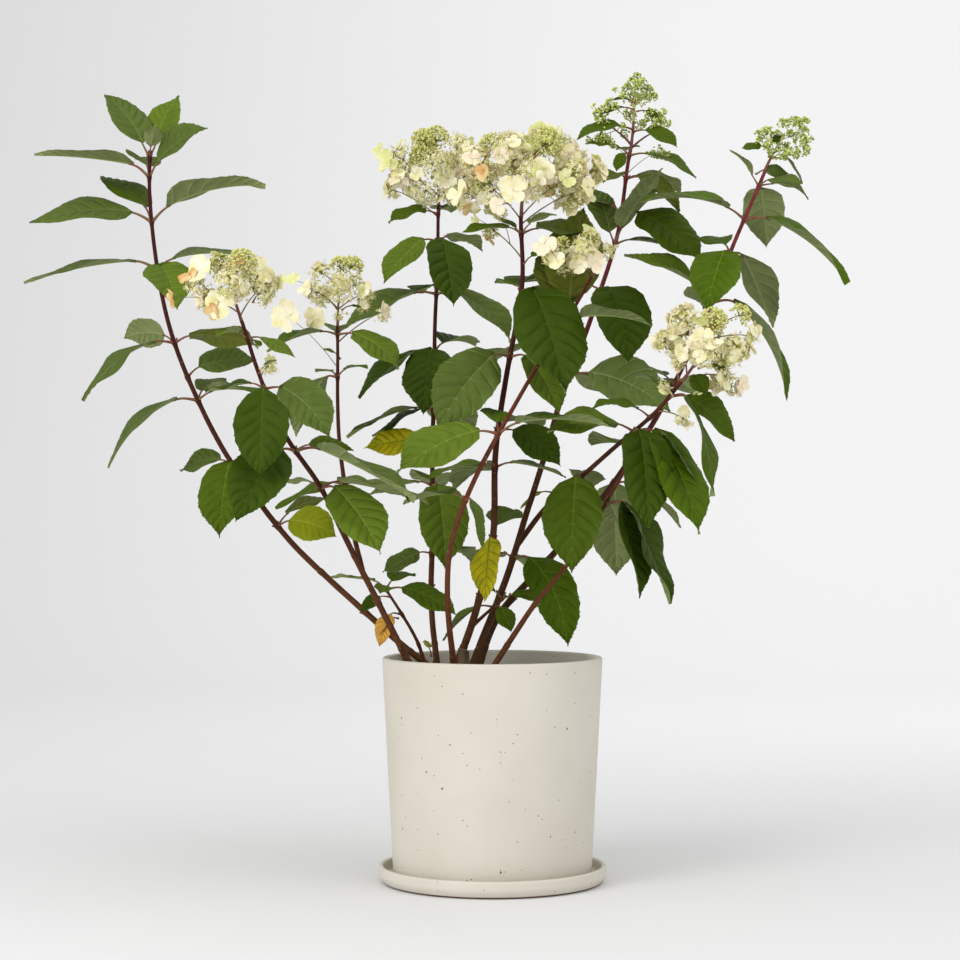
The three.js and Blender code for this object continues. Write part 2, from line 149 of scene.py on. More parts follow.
def blotch_group():
    """Varies a colour by soft blotches of a given size."""
    group, source, sink = new_group(
        "soft_blotches",
        [
            ("Vector", "NodeSocketVector", None),
            ("Colour", "NodeSocketColor", (1, 1, 1, 1)),
            ("Second colour", "NodeSocketColor", (0, 0, 0, 1)),
            ("Scale", "NodeSocketFloat", 40.0),
            ("Low", "NodeSocketFloat", 0.4),
            ("High", "NodeSocketFloat", 0.7),
        ],
        [("Colour", "NodeSocketColor")],
    )
    noise = add_node(group, "ShaderNodeTexNoise", {"Detail": 3})
    contrast = add_node(group, "ShaderNodeMapRange")
    mix = add_node(group, "ShaderNodeMix", data_type="RGBA")
    link = group.links.new
    link(source.outputs["Vector"], noise.inputs["Vector"])
    link(source.outputs["Scale"], noise.inputs["Scale"])
    link(noise.outputs["Fac"], contrast.inputs["Value"])
    link(source.outputs["Low"], contrast.inputs["From Min"])
    link(source.outputs["High"], contrast.inputs["From Max"])
    link(contrast.outputs["Result"], mix.inputs["Factor"])
    link(source.outputs["Colour"], mix.inputs[6])
    link(source.outputs["Second colour"], mix.inputs[7])
    link(mix.outputs[2], sink.inputs["Colour"])
    return group


def unevenness_group():
    """A height for a Bump node: fine unevenness, longer along Z when stretched."""
    group, source, sink = new_group(
        "fine_unevenness",
        [
            ("Vector", "NodeSocketVector", None),
            ("Scale", "NodeSocketFloat", 600.0),
            ("Stretch", "NodeSocketVector", (1, 1, 1)),
        ],
        [("Height", "NodeSocketFloat")],
    )
    stretch = add_node(group, "ShaderNodeVectorMath", operation="MULTIPLY")
    noise = add_node(group, "ShaderNodeTexNoise", {"Detail": 4})
    link = group.links.new
    link(source.outputs["Vector"], stretch.inputs[0])
    link(source.outputs["Stretch"], stretch.inputs[1])
    link(stretch.outputs["Vector"], noise.inputs["Vector"])
    link(source.outputs["Scale"], noise.inputs["Scale"])
    link(noise.outputs["Fac"], sink.inputs["Height"])
    return group


BLOTCHES = blotch_group()
UNEVEN = unevenness_group()
RELIEF_DEPTH = 0.0006  # of a Bump node, in metres


def finish(name, colour, roughness, second=None, scale=40, low=0.4, high=0.7,
           bump=0.0, bump_scale=600, stretch=(1, 1, 1), specular=0.5):
    """A plain finish: a colour with blotches of a second one, and a fine relief."""
    material = bpy.data.materials.new(name)
    material.use_nodes = True
    tree, link = material.node_tree, material.node_tree.links.new
    shader = tree.nodes["Principled BSDF"]
    shader.inputs["Roughness"].default_value = roughness
    shader.inputs["Specular IOR Level"].default_value = specular
    shader.inputs["Base Color"].default_value = (*colour, 1)
    material.diffuse_color = (*colour, 1)
    place = add_node(tree, "ShaderNodeTexCoord")
    if second is not None:
        values = {"Colour": (*colour, 1), "Second colour": (*second, 1), "Scale": scale,
                  "Low": low, "High": high}
        blotches = add_node(tree, "ShaderNodeGroup", values, node_tree=BLOTCHES)
        link(place.outputs["Object"], blotches.inputs["Vector"])
        link(blotches.outputs["Colour"], shader.inputs["Base Color"])
    if bump > 0:
        uneven = add_node(tree, "ShaderNodeGroup", {"Scale": bump_scale, "Stretch": stretch},
                          node_tree=UNEVEN)
        relief = add_node(tree, "ShaderNodeBump", {"Strength": bump, "Distance": RELIEF_DEPTH})
        link(place.outputs["Object"], uneven.inputs["Vector"])
        link(uneven.outputs["Height"], relief.inputs["Height"])
        link(relief.outputs["Normal"], shader.inputs["Normal"])
    return material


print("node groups:", BLOTCHES.name, UNEVEN.name)

# %% [markdown]
# A studio's paper hangs from a roll and runs out under the plant, so that no edge crosses
# the picture. Here it is one sheet that curves up in a quarter circle. The curve is wide
# and starts well behind the plant, because a tight one shows as a dark band.

# %% Floor and backdrop
PAPER = finish("backdrop_paper", (0.79, 0.79, 0.795), 0.9)


def make_stage():
    """The sheet in metres, from in front of the lens to above the picture's top."""
    front, back, top, half_width = -4.0, 2.4, 5.0, 6.0
    turn, steps = 2.0, 32
    outline = [(front, 0.0)]
    for step in range(steps + 1):
        angle = math.pi / 2 * step / steps
        outline.append((back + turn * math.sin(angle), turn * (1 - math.cos(angle))))
    outline.append((back + turn, top))
    points = [(side * half_width, y, z) for y, z in outline for side in (-1, 1)]
    faces = [
        (2 * i, 2 * i + 1, 2 * i + 3, 2 * i + 2) for i in range(len(outline) - 1)
    ]
    mesh = bpy.data.meshes.new("backdrop")
    mesh.from_pydata(points, [], faces)
    mesh.materials.append(PAPER)
    mesh.polygons.foreach_set("use_smooth", [True] * len(mesh.polygons))
    sheet = bpy.data.objects.new("backdrop", mesh)
    scene.collection.objects.link(sheet)
    return sheet


print("faces of the backdrop:", len(make_stage().data.polygons))

# %% [markdown]
# ## Meshes from rows of points
#
# Pots, stems, leaves and sepals are all made the same way: rows of points are worked
# out with arrays, and neighbouring rows are joined by faces. `Skin` gathers many such
# shapes into one mesh. Where a row shrinks to one point the doubled corner is dropped,
# so poles and tips are closed. Arrays keep this fast for some hundred thousand faces.


# %% Gathering shapes
def grid_faces(rows, columns, closed=False):
    """Corner numbers of the faces between rows of points, as an array of fours."""
    numbers = np.arange(rows * columns).reshape(rows, columns)
    if closed:
        numbers = np.hstack([numbers, numbers[:, :1]])
    return np.stack(
        [numbers[:-1, :-1], numbers[:-1, 1:], numbers[1:, 1:], numbers[1:, :-1]], -1
    ).reshape(-1, 4)


class Skin:
    """Gathers loose shapes, each face with its finish, and makes one mesh of them."""

    def __init__(self):
        self.points, self.faces, self.tones, self.count = [], [], [], 0

    def add(self, points, faces, tones):
        points = np.asarray(points, float).reshape(-1, 3)
        faces = np.asarray(faces, int)
        self.points.append(points)
        self.faces.append(faces + self.count)
        self.tones.append(np.broadcast_to(tones, len(faces)))
        self.count += len(points)

    def build(self, name, materials, weld=False, crease=55):
        """The mesh in metres. Weld joins the points that lie on each other."""
        points = np.concatenate(self.points) / 1000
        faces = np.concatenate(self.faces)
        tones = np.concatenate(self.tones)
        if weld:
            keys = np.round(points * 1e6).astype(np.int64)
            _, first, same = np.unique(keys, axis=0, return_index=True, return_inverse=True)
            points, faces = points[first], same.reshape(-1)[faces]
        following = np.roll(faces, -1, axis=1)
        doubled = faces == following
        keep = doubled.sum(1) <= 1
        faces, tones, doubled = faces[keep], tones[keep], doubled[keep]
        triangle = doubled.any(1)
        corners = faces[~doubled]
        sizes = np.where(triangle, 3, 4)
        mesh = bpy.data.meshes.new(name)
        mesh.vertices.add(len(points))
        mesh.vertices.foreach_set("co", points.astype(np.float32).ravel())
        mesh.loops.add(len(corners))
        mesh.loops.foreach_set("vertex_index", corners.astype(np.int32))
        mesh.polygons.add(len(faces))
        starts = np.concatenate([[0], np.cumsum(sizes)[:-1]]).astype(np.int32)
        mesh.polygons.foreach_set("loop_start", starts)
        mesh.polygons.foreach_set("material_index", tones.astype(np.int32))
        mesh.polygons.foreach_set("use_smooth", np.ones(len(faces), bool))
        for material in materials:
            mesh.materials.append(material)
        mesh.update(calc_edges=True)
        mesh.validate()
        if crease:
            mesh.set_sharp_from_angle(angle=math.radians(crease))
        piece = bpy.data.objects.new(name, mesh)
        scene.collection.objects.link(piece)
        return piece


def report(piece):
    """Prints a piece's size and its volume, which is positive if its faces look outwards."""
    mesh = piece.data
    mesh.calc_loop_triangles()
    spots = np.empty(len(mesh.vertices) * 3)
    mesh.vertices.foreach_get("co", spots)
    spots = spots.reshape(-1, 3)
    corners = np.empty(len(mesh.loop_triangles) * 3, np.int32)
    mesh.loop_triangles.foreach_get("vertices", corners)
    one, two, three = (spots[corners.reshape(-1, 3)[:, i]] for i in range(3))
    volume = np.einsum("ij,ij->i", one, np.cross(two, three)).sum() / 6
    print(f"{piece.name}: {len(mesh.loop_triangles)} triangles, {volume * 1e6:.1f} ml, "
          f"top at {spots[:, 2].max() * 1000:.0f} mm")


def dress(piece, nodes):
    """Hands a finished piece to the frame: what it rides on and the solids that it stands for.
    """
    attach(piece, "root")
    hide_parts(*nodes)
    report(piece)


print("faces between 3 rows of 4 points:", len(grid_faces(3, 4)))

# %% [markdown]
# ## The pot and its saucer
#
# Both were turned on a wheel, so each is half an outline, swept round the middle. The
# outline is that of the solid, with its corners rounded by short arcs, as a wet sponge
# leaves them. The clay is a pale cream body with dark iron specks. The specks are drawn
# by a shader of their own, because they differ in size and are much smaller than a face.

# %% Sizes of the pot
GAP = 0.3
SOIL_TOP = 205
SAUCER = {"outer": 118.5, "foot": 111, "height": 18, "wall": 5.5, "floor": 8, "edge": 1.5}
POT = {"rim": 114.5, "foot": 103, "top": 233, "wall": 7, "floor": 10, "edge": 2.5}
POT_BASE = SAUCER["floor"] + GAP


def pot_radius(height):
    """The pot's outer radius at a height, as its wall widens evenly upwards."""
    share = (height - POT_BASE) / (POT["top"] - POT_BASE)
    return POT["foot"] + share * (POT["rim"] - POT["foot"])


print(f"the pot is {2 * pot_radius(SOIL_TOP):.0f} mm across at the soil")


def round_corners(outline, size, steps=5):
    """The outline with each inner corner replaced by a short curve."""
    outline = [np.array(spot, float) for spot in outline]
    curve = [outline[0]]
    for before, corner, after in zip(outline, outline[1:], outline[2:]):
        reach = min(size, 0.45 * np.linalg.norm(corner - before),
                    0.45 * np.linalg.norm(after - corner))
        start = corner + (before - corner) / np.linalg.norm(before - corner) * reach
        end = corner + (after - corner) / np.linalg.norm(after - corner) * reach
        for step in range(steps + 1):
            share = step / steps
            curve.append((1 - share) ** 2 * start + 2 * share * (1 - share) * corner
                         + share ** 2 * end)
    return np.array(curve + [outline[-1]])


def turned(outline, sides=144):
    """Points and faces of a shape swept round Z from [radius, height] pairs."""
    outline = np.asarray(outline, float)
    angle = np.arange(sides) / sides * 2 * math.pi
    points = np.stack([
        outline[:, :1] * np.cos(angle), outline[:, :1] * np.sin(angle),
        np.repeat(outline[:, 1:], sides, 1),
    ], -1)
    return points.reshape(-1, 3), grid_faces(len(outline), sides, closed=True)


# %% Stoneware
def stoneware(name, body, warm, speck):
    """Speckled clay: blotches of two tones, and iron specks of two sizes.

    A speck lies in a Voronoi cell's middle. Only cells whose own random red is above
    `rarity` have one, and `size` is its radius as a share of the cell.
    """
    material = finish(name, body, 0.62, warm, 9, 0.35, 0.75, 0.25, 900, specular=0.35)
    tree, link = material.node_tree, material.node_tree.links.new
    place = next(node for node in tree.nodes if node.type == "TEX_COORD")
    shader = tree.nodes["Principled BSDF"]
    under = shader.inputs["Base Color"].links[0].from_socket
    for scale, rarity, size in ((240, 0.93, 0.16), (120, 0.955, 0.14)):
        cells = add_node(tree, "ShaderNodeTexVoronoi", {"Scale": scale})
        parts = add_node(tree, "ShaderNodeSeparateColor")
        chosen = add_node(tree, "ShaderNodeMath", {1: rarity}, operation="GREATER_THAN")
        near = add_node(tree, "ShaderNodeMath", {1: size}, operation="LESS_THAN")
        both = add_node(tree, "ShaderNodeMath", operation="MULTIPLY")
        mix = add_node(tree, "ShaderNodeMix", {7: (*speck, 1)}, data_type="RGBA")
        link(place.outputs["Object"], cells.inputs["Vector"])
        link(cells.outputs["Color"], parts.inputs["Color"])
        link(parts.outputs["Red"], chosen.inputs[0])
        link(cells.outputs["Distance"], near.inputs[0])
        link(chosen.outputs["Value"], both.inputs[0])
        link(near.outputs["Value"], both.inputs[1])
        link(both.outputs["Value"], mix.inputs["Factor"])
        link(under, mix.inputs[6])
        under = mix.outputs[2]
    link(under, shader.inputs["Base Color"])
    return material


CLAY = stoneware("speckled_clay", paint(214, 209, 197), paint(206, 200, 186),
                 paint(100, 84, 66))
# The saucer's foot is dark brown, darker than the bare clay: partly its own unglazed colour
# and partly painted shade, the dark line where the saucer meets the floor.
FOOT_CLAY_AND_SHADE = finish("unglazed_foot_and_shade", paint(122, 90, 70), 0.85, paint(98, 70, 54), 60,
                  bump=0.3, bump_scale=900)
print("clays:", CLAY.name, FOOT_CLAY_AND_SHADE.name)


# %% Turning the pot and the saucer
def make_pot():
    top, wall, floor, edge = POT["top"], POT["wall"], POT["floor"], POT["edge"]
    inside = POT_BASE + floor
    outline = round_corners([
        [0, POT_BASE], [POT["foot"], POT_BASE], [pot_radius(top), top],
        [POT["rim"] - wall, top], [pot_radius(inside) - wall, inside], [0, inside],
    ], edge)
    skin = Skin()
    skin.add(*turned(outline), 0)
    return skin.build("pot_clay", [CLAY], weld=True, crease=0)


def make_saucer():
    outer, foot, height = SAUCER["outer"], SAUCER["foot"], SAUCER["height"]
    wall, floor, edge = SAUCER["wall"], SAUCER["floor"], SAUCER["edge"]
    inner = outer - wall
    outline = round_corners([
        [0, 0], [foot, 0], [foot + 3, 2], [outer, floor], [outer, height],
        [inner, height], [inner, floor], [0, floor],
    ], edge + 1)
    points, faces = turned(outline)
    # The lowest outer band takes the dark foot finish: bare clay, and partly painted shade.
    heights = points[faces][:, :, 2].mean(1)
    outside = np.linalg.norm(points[faces][:, :, :2].mean(1), axis=1) > foot - 4
    skin = Skin()
    skin.add(points, faces, np.where((heights < 1.9) & outside, 1, 0))
    return skin.build("saucer_clay", [CLAY, FOOT_CLAY_AND_SHADE], weld=True, crease=0)


dress(make_pot(), ["pot"])
dress(make_saucer(), ["saucer"])

# %% [markdown]
# ## Repeating small things with Geometry Nodes
#
# Crumbs in the soil, pores in the bark, buds and the small florets are all one little
# shape set down many times. One node tree does this for all of them: each point of a
# cloud carries the way its copy faces, how far it is spun and how large it is, and the
# tree sets a copy on it. The copies are made real at the end, because the export keeps
# only real meshes. Each little shape has a few dozen faces at most.


# %% The planting tree
POINT_FIELDS = {"aim": "FLOAT_VECTOR", "spin": "FLOAT", "size": "FLOAT"}


def planting_tree(name, little, material):
    """A tree that sets a copy of a little shape on every point of a cloud."""
    tree = bpy.data.node_groups.new(name, "GeometryNodeTree")
    tree.interface.new_socket("Cloud", in_out="INPUT", socket_type="NodeSocketGeometry")
    tree.interface.new_socket("Planted", in_out="OUTPUT", socket_type="NodeSocketGeometry")
    link = tree.links.new
    source, sink = add_node(tree, "NodeGroupInput"), add_node(tree, "NodeGroupOutput")
    shape = add_node(tree, "GeometryNodeObjectInfo", {"Object": little})
    aim, spin, size = (
        add_node(tree, "GeometryNodeInputNamedAttribute", {"Name": label}, data_type=kind)
        for label, kind in POINT_FIELDS.items()
    )
    align = add_node(tree, "FunctionNodeAlignRotationToVector", axis="Z")
    turn = add_node(tree, "FunctionNodeRotateRotation", rotation_space="LOCAL")
    about = add_node(tree, "FunctionNodeAxisAngleToRotation", {"Axis": (0, 0, 1)})
    plant = add_node(tree, "GeometryNodeInstanceOnPoints")
    real = add_node(tree, "GeometryNodeRealizeInstances")
    coat = add_node(tree, "GeometryNodeSetMaterial", {"Material": material})
    link(aim.outputs["Attribute"], align.inputs["Vector"])
    link(align.outputs["Rotation"], turn.inputs["Rotation"])
    link(spin.outputs["Attribute"], about.inputs["Angle"])
    link(about.outputs["Rotation"], turn.inputs["Rotate By"])
    link(source.outputs["Cloud"], plant.inputs["Points"])
    link(shape.outputs["Geometry"], plant.inputs["Instance"])
    link(turn.outputs["Rotation"], plant.inputs["Rotation"])
    link(size.outputs["Attribute"], plant.inputs["Scale"])
    link(plant.outputs["Instances"], real.inputs["Geometry"])
    link(real.outputs["Geometry"], coat.inputs["Geometry"])
    link(coat.outputs["Geometry"], sink.inputs["Planted"])
    return tree


def plant_copies(name, little, material, places, aims, spins, sizes):
    """One mesh with a copy of the little shape at every place, all in millimetres."""
    cloud = bpy.data.meshes.new(name + "_cloud")
    cloud.from_pydata([tuple(spot) for spot in np.asarray(places) / 1000], [], [])
    for (label, kind), values in zip(POINT_FIELDS.items(), (aims, spins, sizes)):
        field = cloud.attributes.new(label, kind, "POINT")
        channel = "vector" if kind == "FLOAT_VECTOR" else "value"
        field.data.foreach_set(channel, np.asarray(values, np.float32).ravel())
    holder = bpy.data.objects.new(name + "_holder", cloud)
    scene.collection.objects.link(holder)
    modifier = holder.modifiers.new("planting", "NODES")
    modifier.node_group = planting_tree(name + "_tree", little, material)
    bpy.context.view_layer.update()
    view = bpy.context.evaluated_depsgraph_get()
    mesh = bpy.data.meshes.new_from_object(holder.evaluated_get(view), depsgraph=view)
    mesh.name = name
    for label in POINT_FIELDS:
        if label in mesh.attributes:
            mesh.attributes.remove(mesh.attributes[label])
    bpy.data.objects.remove(holder)
    piece = bpy.data.objects.new(name, mesh)
    scene.collection.objects.link(piece)
    return piece


def little_shape(name, points, faces, smooth=True):
    """A little shape in millimetres, kept out of the scene until it is planted."""
    mesh = bpy.data.meshes.new(name)
    mesh.from_pydata([tuple(value / 1000 for value in spot) for spot in points], [], faces)
    mesh.polygons.foreach_set("use_smooth", [smooth] * len(mesh.polygons))
    return bpy.data.objects.new(name, mesh)


def pebble(name, rings=2, sides=5, stretch=(1, 1, 1), smooth=True):
    """A closed ball of few faces, one millimetre in radius."""
    points = [(0, 0, -stretch[2])]
    for ring in range(1, rings + 1):
        slope = math.pi * ring / (rings + 1)
        for side in range(sides):
            angle = 2 * math.pi * (side + 0.5 * (ring % 2)) / sides
            points.append((math.sin(slope) * math.cos(angle) * stretch[0],
                           math.sin(slope) * math.sin(angle) * stretch[1],
                           -math.cos(slope) * stretch[2]))
    points.append((0, 0, stretch[2]))
    faces = []
    for side in range(sides):
        after = (side + 1) % sides
        faces.append((0, 1 + after, 1 + side))
        for ring in range(rings - 1):
            low, high = 1 + ring * sides, 1 + (ring + 1) * sides
            faces.append((low + side, low + after, high + after, high + side))
        last = 1 + (rings - 1) * sides
        faces.append((last + side, last + after, len(points) - 1))
    return little_shape(name, points, faces, smooth)


draw = np.random.default_rng(20)
SPIN = (0, 6.28)  # the range of a copy's spin, which is one turn in radians
print("fields of a cloud's points:", *POINT_FIELDS)

# %% [markdown]
# ## The soil
#
# Moist potting mix has a dark, broken surface with crumbs and flakes of bark. The bed is
# a turned shape that follows the solid, with its top roughened, and the crumbs are
# planted on it. Each crumb is a pebble of a few faces, pushed into the bed.

# %% The bed
MOULD = finish("potting_mix", paint(62, 48, 38), 0.95, paint(34, 26, 20), 160, bump=0.8,
               bump_scale=500)
FLAKE = finish("bark_flakes", paint(104, 78, 54), 0.9, paint(66, 46, 32), 120)


def lumps(x, y):
    """The height of the bed's surface over its level, in millimetres."""
    return (1.3 * np.sin(x * 0.11 + 1.3) * np.sin(y * 0.13 + 0.4)
            + 0.8 * np.sin(x * 0.29 + y * 0.21) + 0.5 * np.sin(y * 0.47 - x * 0.39 + 2))


def make_bed():
    bottom = POT_BASE + POT["floor"] + GAP
    edge = pot_radius(SOIL_TOP) - POT["wall"] - GAP
    outline = [[0, bottom], [pot_radius(bottom) - POT["wall"] - 4, bottom],
               [pot_radius(bottom + 4) - POT["wall"] - GAP, bottom + 4], [edge, SOIL_TOP - 2]]
    outline += [[edge * share, SOIL_TOP] for share in np.linspace(1, 0, 36)]
    points, faces = turned(outline, 96)
    top = points[:, 2] > SOIL_TOP - 0.5
    distance = np.linalg.norm(points[:, :2], axis=1)
    fade = np.clip((edge - distance) / 6, 0, 1)
    points[top, 2] += (lumps(points[:, 0], points[:, 1]) * fade - 0.6)[top]
    skin = Skin()
    skin.add(points, faces, 0)
    return skin.build("soil_bed", [MOULD], weld=True, crease=0)


def scatter_on_bed(count, reach):
    angle = draw.uniform(0, 2 * math.pi, count)
    distance = reach * np.sqrt(draw.uniform(0, 1, count))
    x, y = distance * np.cos(angle), distance * np.sin(angle)
    places = np.stack([x, y, SOIL_TOP + lumps(x, y) - 0.4], 1)
    aims = draw.normal(0, 0.45, (count, 3)) + (0, 0, 1)
    return places, aims, draw.uniform(*SPIN, count)


dress(make_bed(), ["soil"])
BED_EDGE = pot_radius(SOIL_TOP) - POT["wall"] - 3
CRUMBS, CHIPS = 1500, 170
crumb = pebble("crumb", 2, 5, (1, 0.8, 0.6), smooth=False)
dress(plant_copies("soil_crumbs", crumb, MOULD, *scatter_on_bed(CRUMBS, BED_EDGE),
                   draw.uniform(0.8, 2.6, CRUMBS)), ["soil"])
flake = pebble("flake", 1, 6, (1.6, 0.7, 0.25), smooth=False)
dress(plant_copies("bark_chips", flake, FLAKE, *scatter_on_bed(CHIPS, BED_EDGE - 4),
                   draw.uniform(1.6, 4.2, CHIPS)), ["soil"])

# %% [markdown]
# ## The shoots
#
# The shoots grow by the same rule as the solids: each axis is a smooth curve through a
# few points, and the stem tapers by its place on that axis. Whorls give the height of
# each pair or ring of leaves. A leaf is its length, the way it heads, its rise, a twist
# that turns its face to the front, and the bend of its blade where that is its own.
# Heading 0 is +X and 90 is +Y.

# %% Planting table
SHOOTS = {
    "far_left": {
        "route": [[-46, 28, 205], [-115, 40, 260], [-235, 60, 375], [-318, 80, 505],
                  [-357, 85, 620], [-368, 80, 720], [-369, 80, 772]],
        "thick": [7.2, 3.8],
        "whorls": [
            [764, [78, 151, 47, 35], [70, 54, 58, 10], [36, 290, 30]],
            [743, [108, 180, 5, -8, 12], [72, 338, 28, 60], [66, 110, 15]],
            [695, [112, 195, -8, 25, 30], [112, 355, 11, 8], [86, 140, 28, 5]],
            [645, [122, 190, -13, 10], [88, 292, -36], [88, 12, 1, 5]],
            [565, [104, 200, -41, -5, 45], [60, 148, -2, -60], [84, 340, -10, 30]],
            [528, [66, 22, 8, 48]],
            [503, [110, 205, -45, -3, 45], [80, 330, -6], [60, 70, 12]],
            [434, [98, 266, -56], [52, 158, -14, 45], [60, 40, -20]],
            [368, [72, 322, -14, 65], [64, 35, 15]],
        ],
    },
    "left": {
        "route": [[-72, -36, 205], [-130, -70, 320], [-170, -95, 405], [-205, -115, 460],
                  [-232, -130, 525], [-246, -145, 572]],
        "thick": [7.2, 3.6],
        "whorls": [
            [555, [42, 345, -30, 20], [34, 235, -10]],
            [506, [98, 271, -68], [78, 333, -42, 48], [50, 165, -10, 15]],
            [445, [104, 238, -44, 30], [120, 338, -26, -5, 10], [46, 10, -8, 30]],
            [408, [96, 315, -44, 35], [40, 150, -5], [86, 30, -12]],
        ],
        "head": {"lean": [180, 72], "width": 88, "height": 70, "clusters": 7},
    },
    "left_fork": {
        "route": [[-130, -70, 320], [-152, -20, 405], [-163, 30, 500], [-165, 60, 582]],
        "thick": [5.2, 3.2], "from": "left",
        "whorls": [
            [572, [66, 200, -22, 10], [70, 335, -36, 30], [56, 95, 0]],
            [526, [30, 240, -5], [38, 315, 0], [80, 136, -54]],
            [412, [78, 15, -20], [62, 195, -26, 5]],
        ],
        "head": {"lean": [60, 84], "width": 72, "height": 76, "clusters": 6},
    },
    "base_twig": {
        "route": [[-64, -6, 205], [-76, -9, 245], [-95, -20, 280], [-112, -28, 308]],
        "thick": [4.4, 2.6],
        "whorls": [
            [304, [66, 345, -26, 35], [44, 60, 5], [30, 264, -15, 20], [46, 175, 5]],
            [278, [36, 215, -68, 20]],
        ],
    },
    "back": {
        "route": [[-56, 50, 205], [-65, 70, 270], [-65, 100, 340], [-65, 140, 490],
                  [-60, 190, 728]],
        "thick": [6.6, 3.6],
        "whorls": [
            [716, [48, 200, -20, 20], [60, 80, 0]],
            [685, [72, 208, -46, 35], [96, 285, -58], [64, 50, -10]],
            [625, [100, 190, -28, 15], [92, 338, -40, 12], [80, 100, 0]],
            [560, [90, 205, -38, 10], [100, 263, -50], [76, 60, 0]],
            [495, [84, 185, -25], [62, 165, -30, 30], [92, 70, -25]],
            [411, [98, 286, -72], [64, 160, -15], [90, 90, -10]],
            [338, [46, 195, -28, 35], [70, 60, -15]],
        ],
        "head": {"lean": [190, 84], "width": 108, "height": 84, "clusters": 8},
    },
    "front": {
        "route": [[-38, -30, 205], [-45, -65, 300], [-40, -85, 360], [5, -72, 461],
                  [79, -25, 586], [102, -35, 625]],
        "thick": [6.4, 3.4],
        "whorls": [
            [576, [80, 340, -8], [92, 96, 50], [66, 118, -22]],
            [463, [99, 203, -26, 28], [98, 345, -3, 0], [46, 100, 20]],
            [396, [58, 292, -60, -30], [70, 140, -10]],
        ],
        "head": {"lean": [190, 66], "width": 70, "height": 50, "clusters": 5},
    },
    "center": {
        "route": [[-46, 8, 205], [-20, 5, 270], [0, 5, 355], [5, 5, 465], [30, -5, 615],
                  [30, -10, 690]],
        "thick": [8.4, 4.2],
        "whorls": [
            [672, [52, 200, -8, 10], [72, 25, -12, 35], [38, 320, 10]],
            [612, [128, 300, -61, 15], [52, 110, 5], [84, 80, 5]],
            [545, [112, 221, -47, 42], [80, 322, -55, 20], [80, 100, -8]],
            [468, [66, 341, -37, 40], [88, 65, -5]],
            [430, [58, 195, -15], [64, 15, -15], [78, 120, -20]],
            [356, [62, 70, 15], [76, 262, -60, -30]],
        ],
        "head": {"lean": [0, 82], "width": 164, "height": 94, "clusters": 12},
    },
    "tall": {
        "route": [[-28, 32, 205], [10, 60, 300], [40, 90, 390], [75, 120, 505],
                  [135, 170, 675], [155, 190, 788]],
        "thick": [8, 4],
        "whorls": [
            [782, [42, 197, 2, 25], [68, 340, -28, 20], [48, 90, 5]],
            [755, [46, 240, -20], [68, 325, -40, 10], [68, 35, -15]],
            [715, [98, 330, -38, 40], [60, 160, 10]],
            [680, [66, 125, 58, 20], [90, 310, 42, 10], [72, 350, -15, 20]],
            [628, [106, 290, -58], [78, 60, -30], [76, 150, -10]],
            [532, [106, 338, -26, 60], [78, 120, 5], [84, 55, -20]],
            [334, [112, 318, -60, 25, 50], [76, 65, -30], [60, 130, -15]],
        ],
        "head": {"lean": [20, 86], "height": 88},
    },
    "tall_fork": {
        "route": [[25, 75, 345], [55, 50, 385], [115, -10, 440], [165, -60, 485],
                  [190, -85, 515]],
        "thick": [6, 3.8], "from": "tall",
        "whorls": [
            [500, [68, 0, -44, 35], [108, 322, -73, -20], [62, 115, 10]],
            [480, [54, 205, 0, 10]],
            [466, [108, 280, -70, -12], [120, 326, -64, 12, 30], [90, 350, -58],
                  [78, 195, -8, 20]],
            [420, [104, 255, -78], [70, 80, -15]],
        ],
        "head": {"lean": [350, 56], "width": 94, "height": 80, "clusters": 8},
    },
    "right": {
        "route": [[-18, 56, 205], [5, 70, 270], [55, 85, 325], [140, 115, 425],
                  [213, 130, 550], [260, 125, 665], [297, 115, 755]],
        "thick": [8.2, 3.8],
        "whorls": [
            [738, [38, 195, 44, 20], [46, 318, -10, 20], [78, 75, -56], [46, 355, -24, 0, 60]],
            [702, [100, 190, 2, 10], [118, 345, -40, 15]],
            [665, [98, 247, -48, 10], [96, 45, -56], [66, 110, 10]],
            [612, [94, 193, 20, 30], [128, 345, -62, 3], [90, 90, -5]],
            [520, [84, 70, -10], [60, 130, 15]],
            [414, [110, 84, -74], [80, 20, -40]],
        ],
        "head": {"lean": [0, 62], "height": 56},
    },
    "low_right": {
        "route": [[-12, -38, 205], [36, -22, 278], [84, 8, 337], [154, 2, 453]],
        "thick": [6.6, 3],
        "whorls": [
            [444, [84, 20, -50], [72, 120, 0]],
            [392, [104, 310, -73, -20], [116, 336, -66], [64, 75, -25]],
        ],
    },
    "spur": {
        "route": [[-23, 5, 262], [-8, 12, 276], [6, 18, 288], [14, 20, 296]],
        "thick": [4.2, 2.4], "from": "center",
        "whorls": [[292, [32, 345, -12, 40], [22, 150, 10]],
                   [284, [34, 302, -52, 20], [54, 172, -44, 20]]],
    },
}
LEAF_COUNT = sum(len(row) - 1 for shoot in SHOOTS.values() for row in shoot["whorls"])
print(len(SHOOTS), "shoots with", LEAF_COUNT, "leaves")


# %% Axes
def chance(seed, feature):
    """A repeatable number from 0 to 1 for each leaf and each of its features."""
    return math.modf(math.sin(seed * 12.9898 + feature * 78.233) * 43758.5453)[0] % 1


def spread(seed, feature):
    return 2 * chance(seed, feature) - 1


def direction(heading, rise):
    heading, rise = math.radians(heading), math.radians(rise)
    return np.array([math.cos(rise) * math.cos(heading),
                     math.cos(rise) * math.sin(heading), math.sin(rise)])


def unit(vector):
    vector = np.asarray(vector, float)
    return vector / np.linalg.norm(vector, axis=-1, keepdims=True)


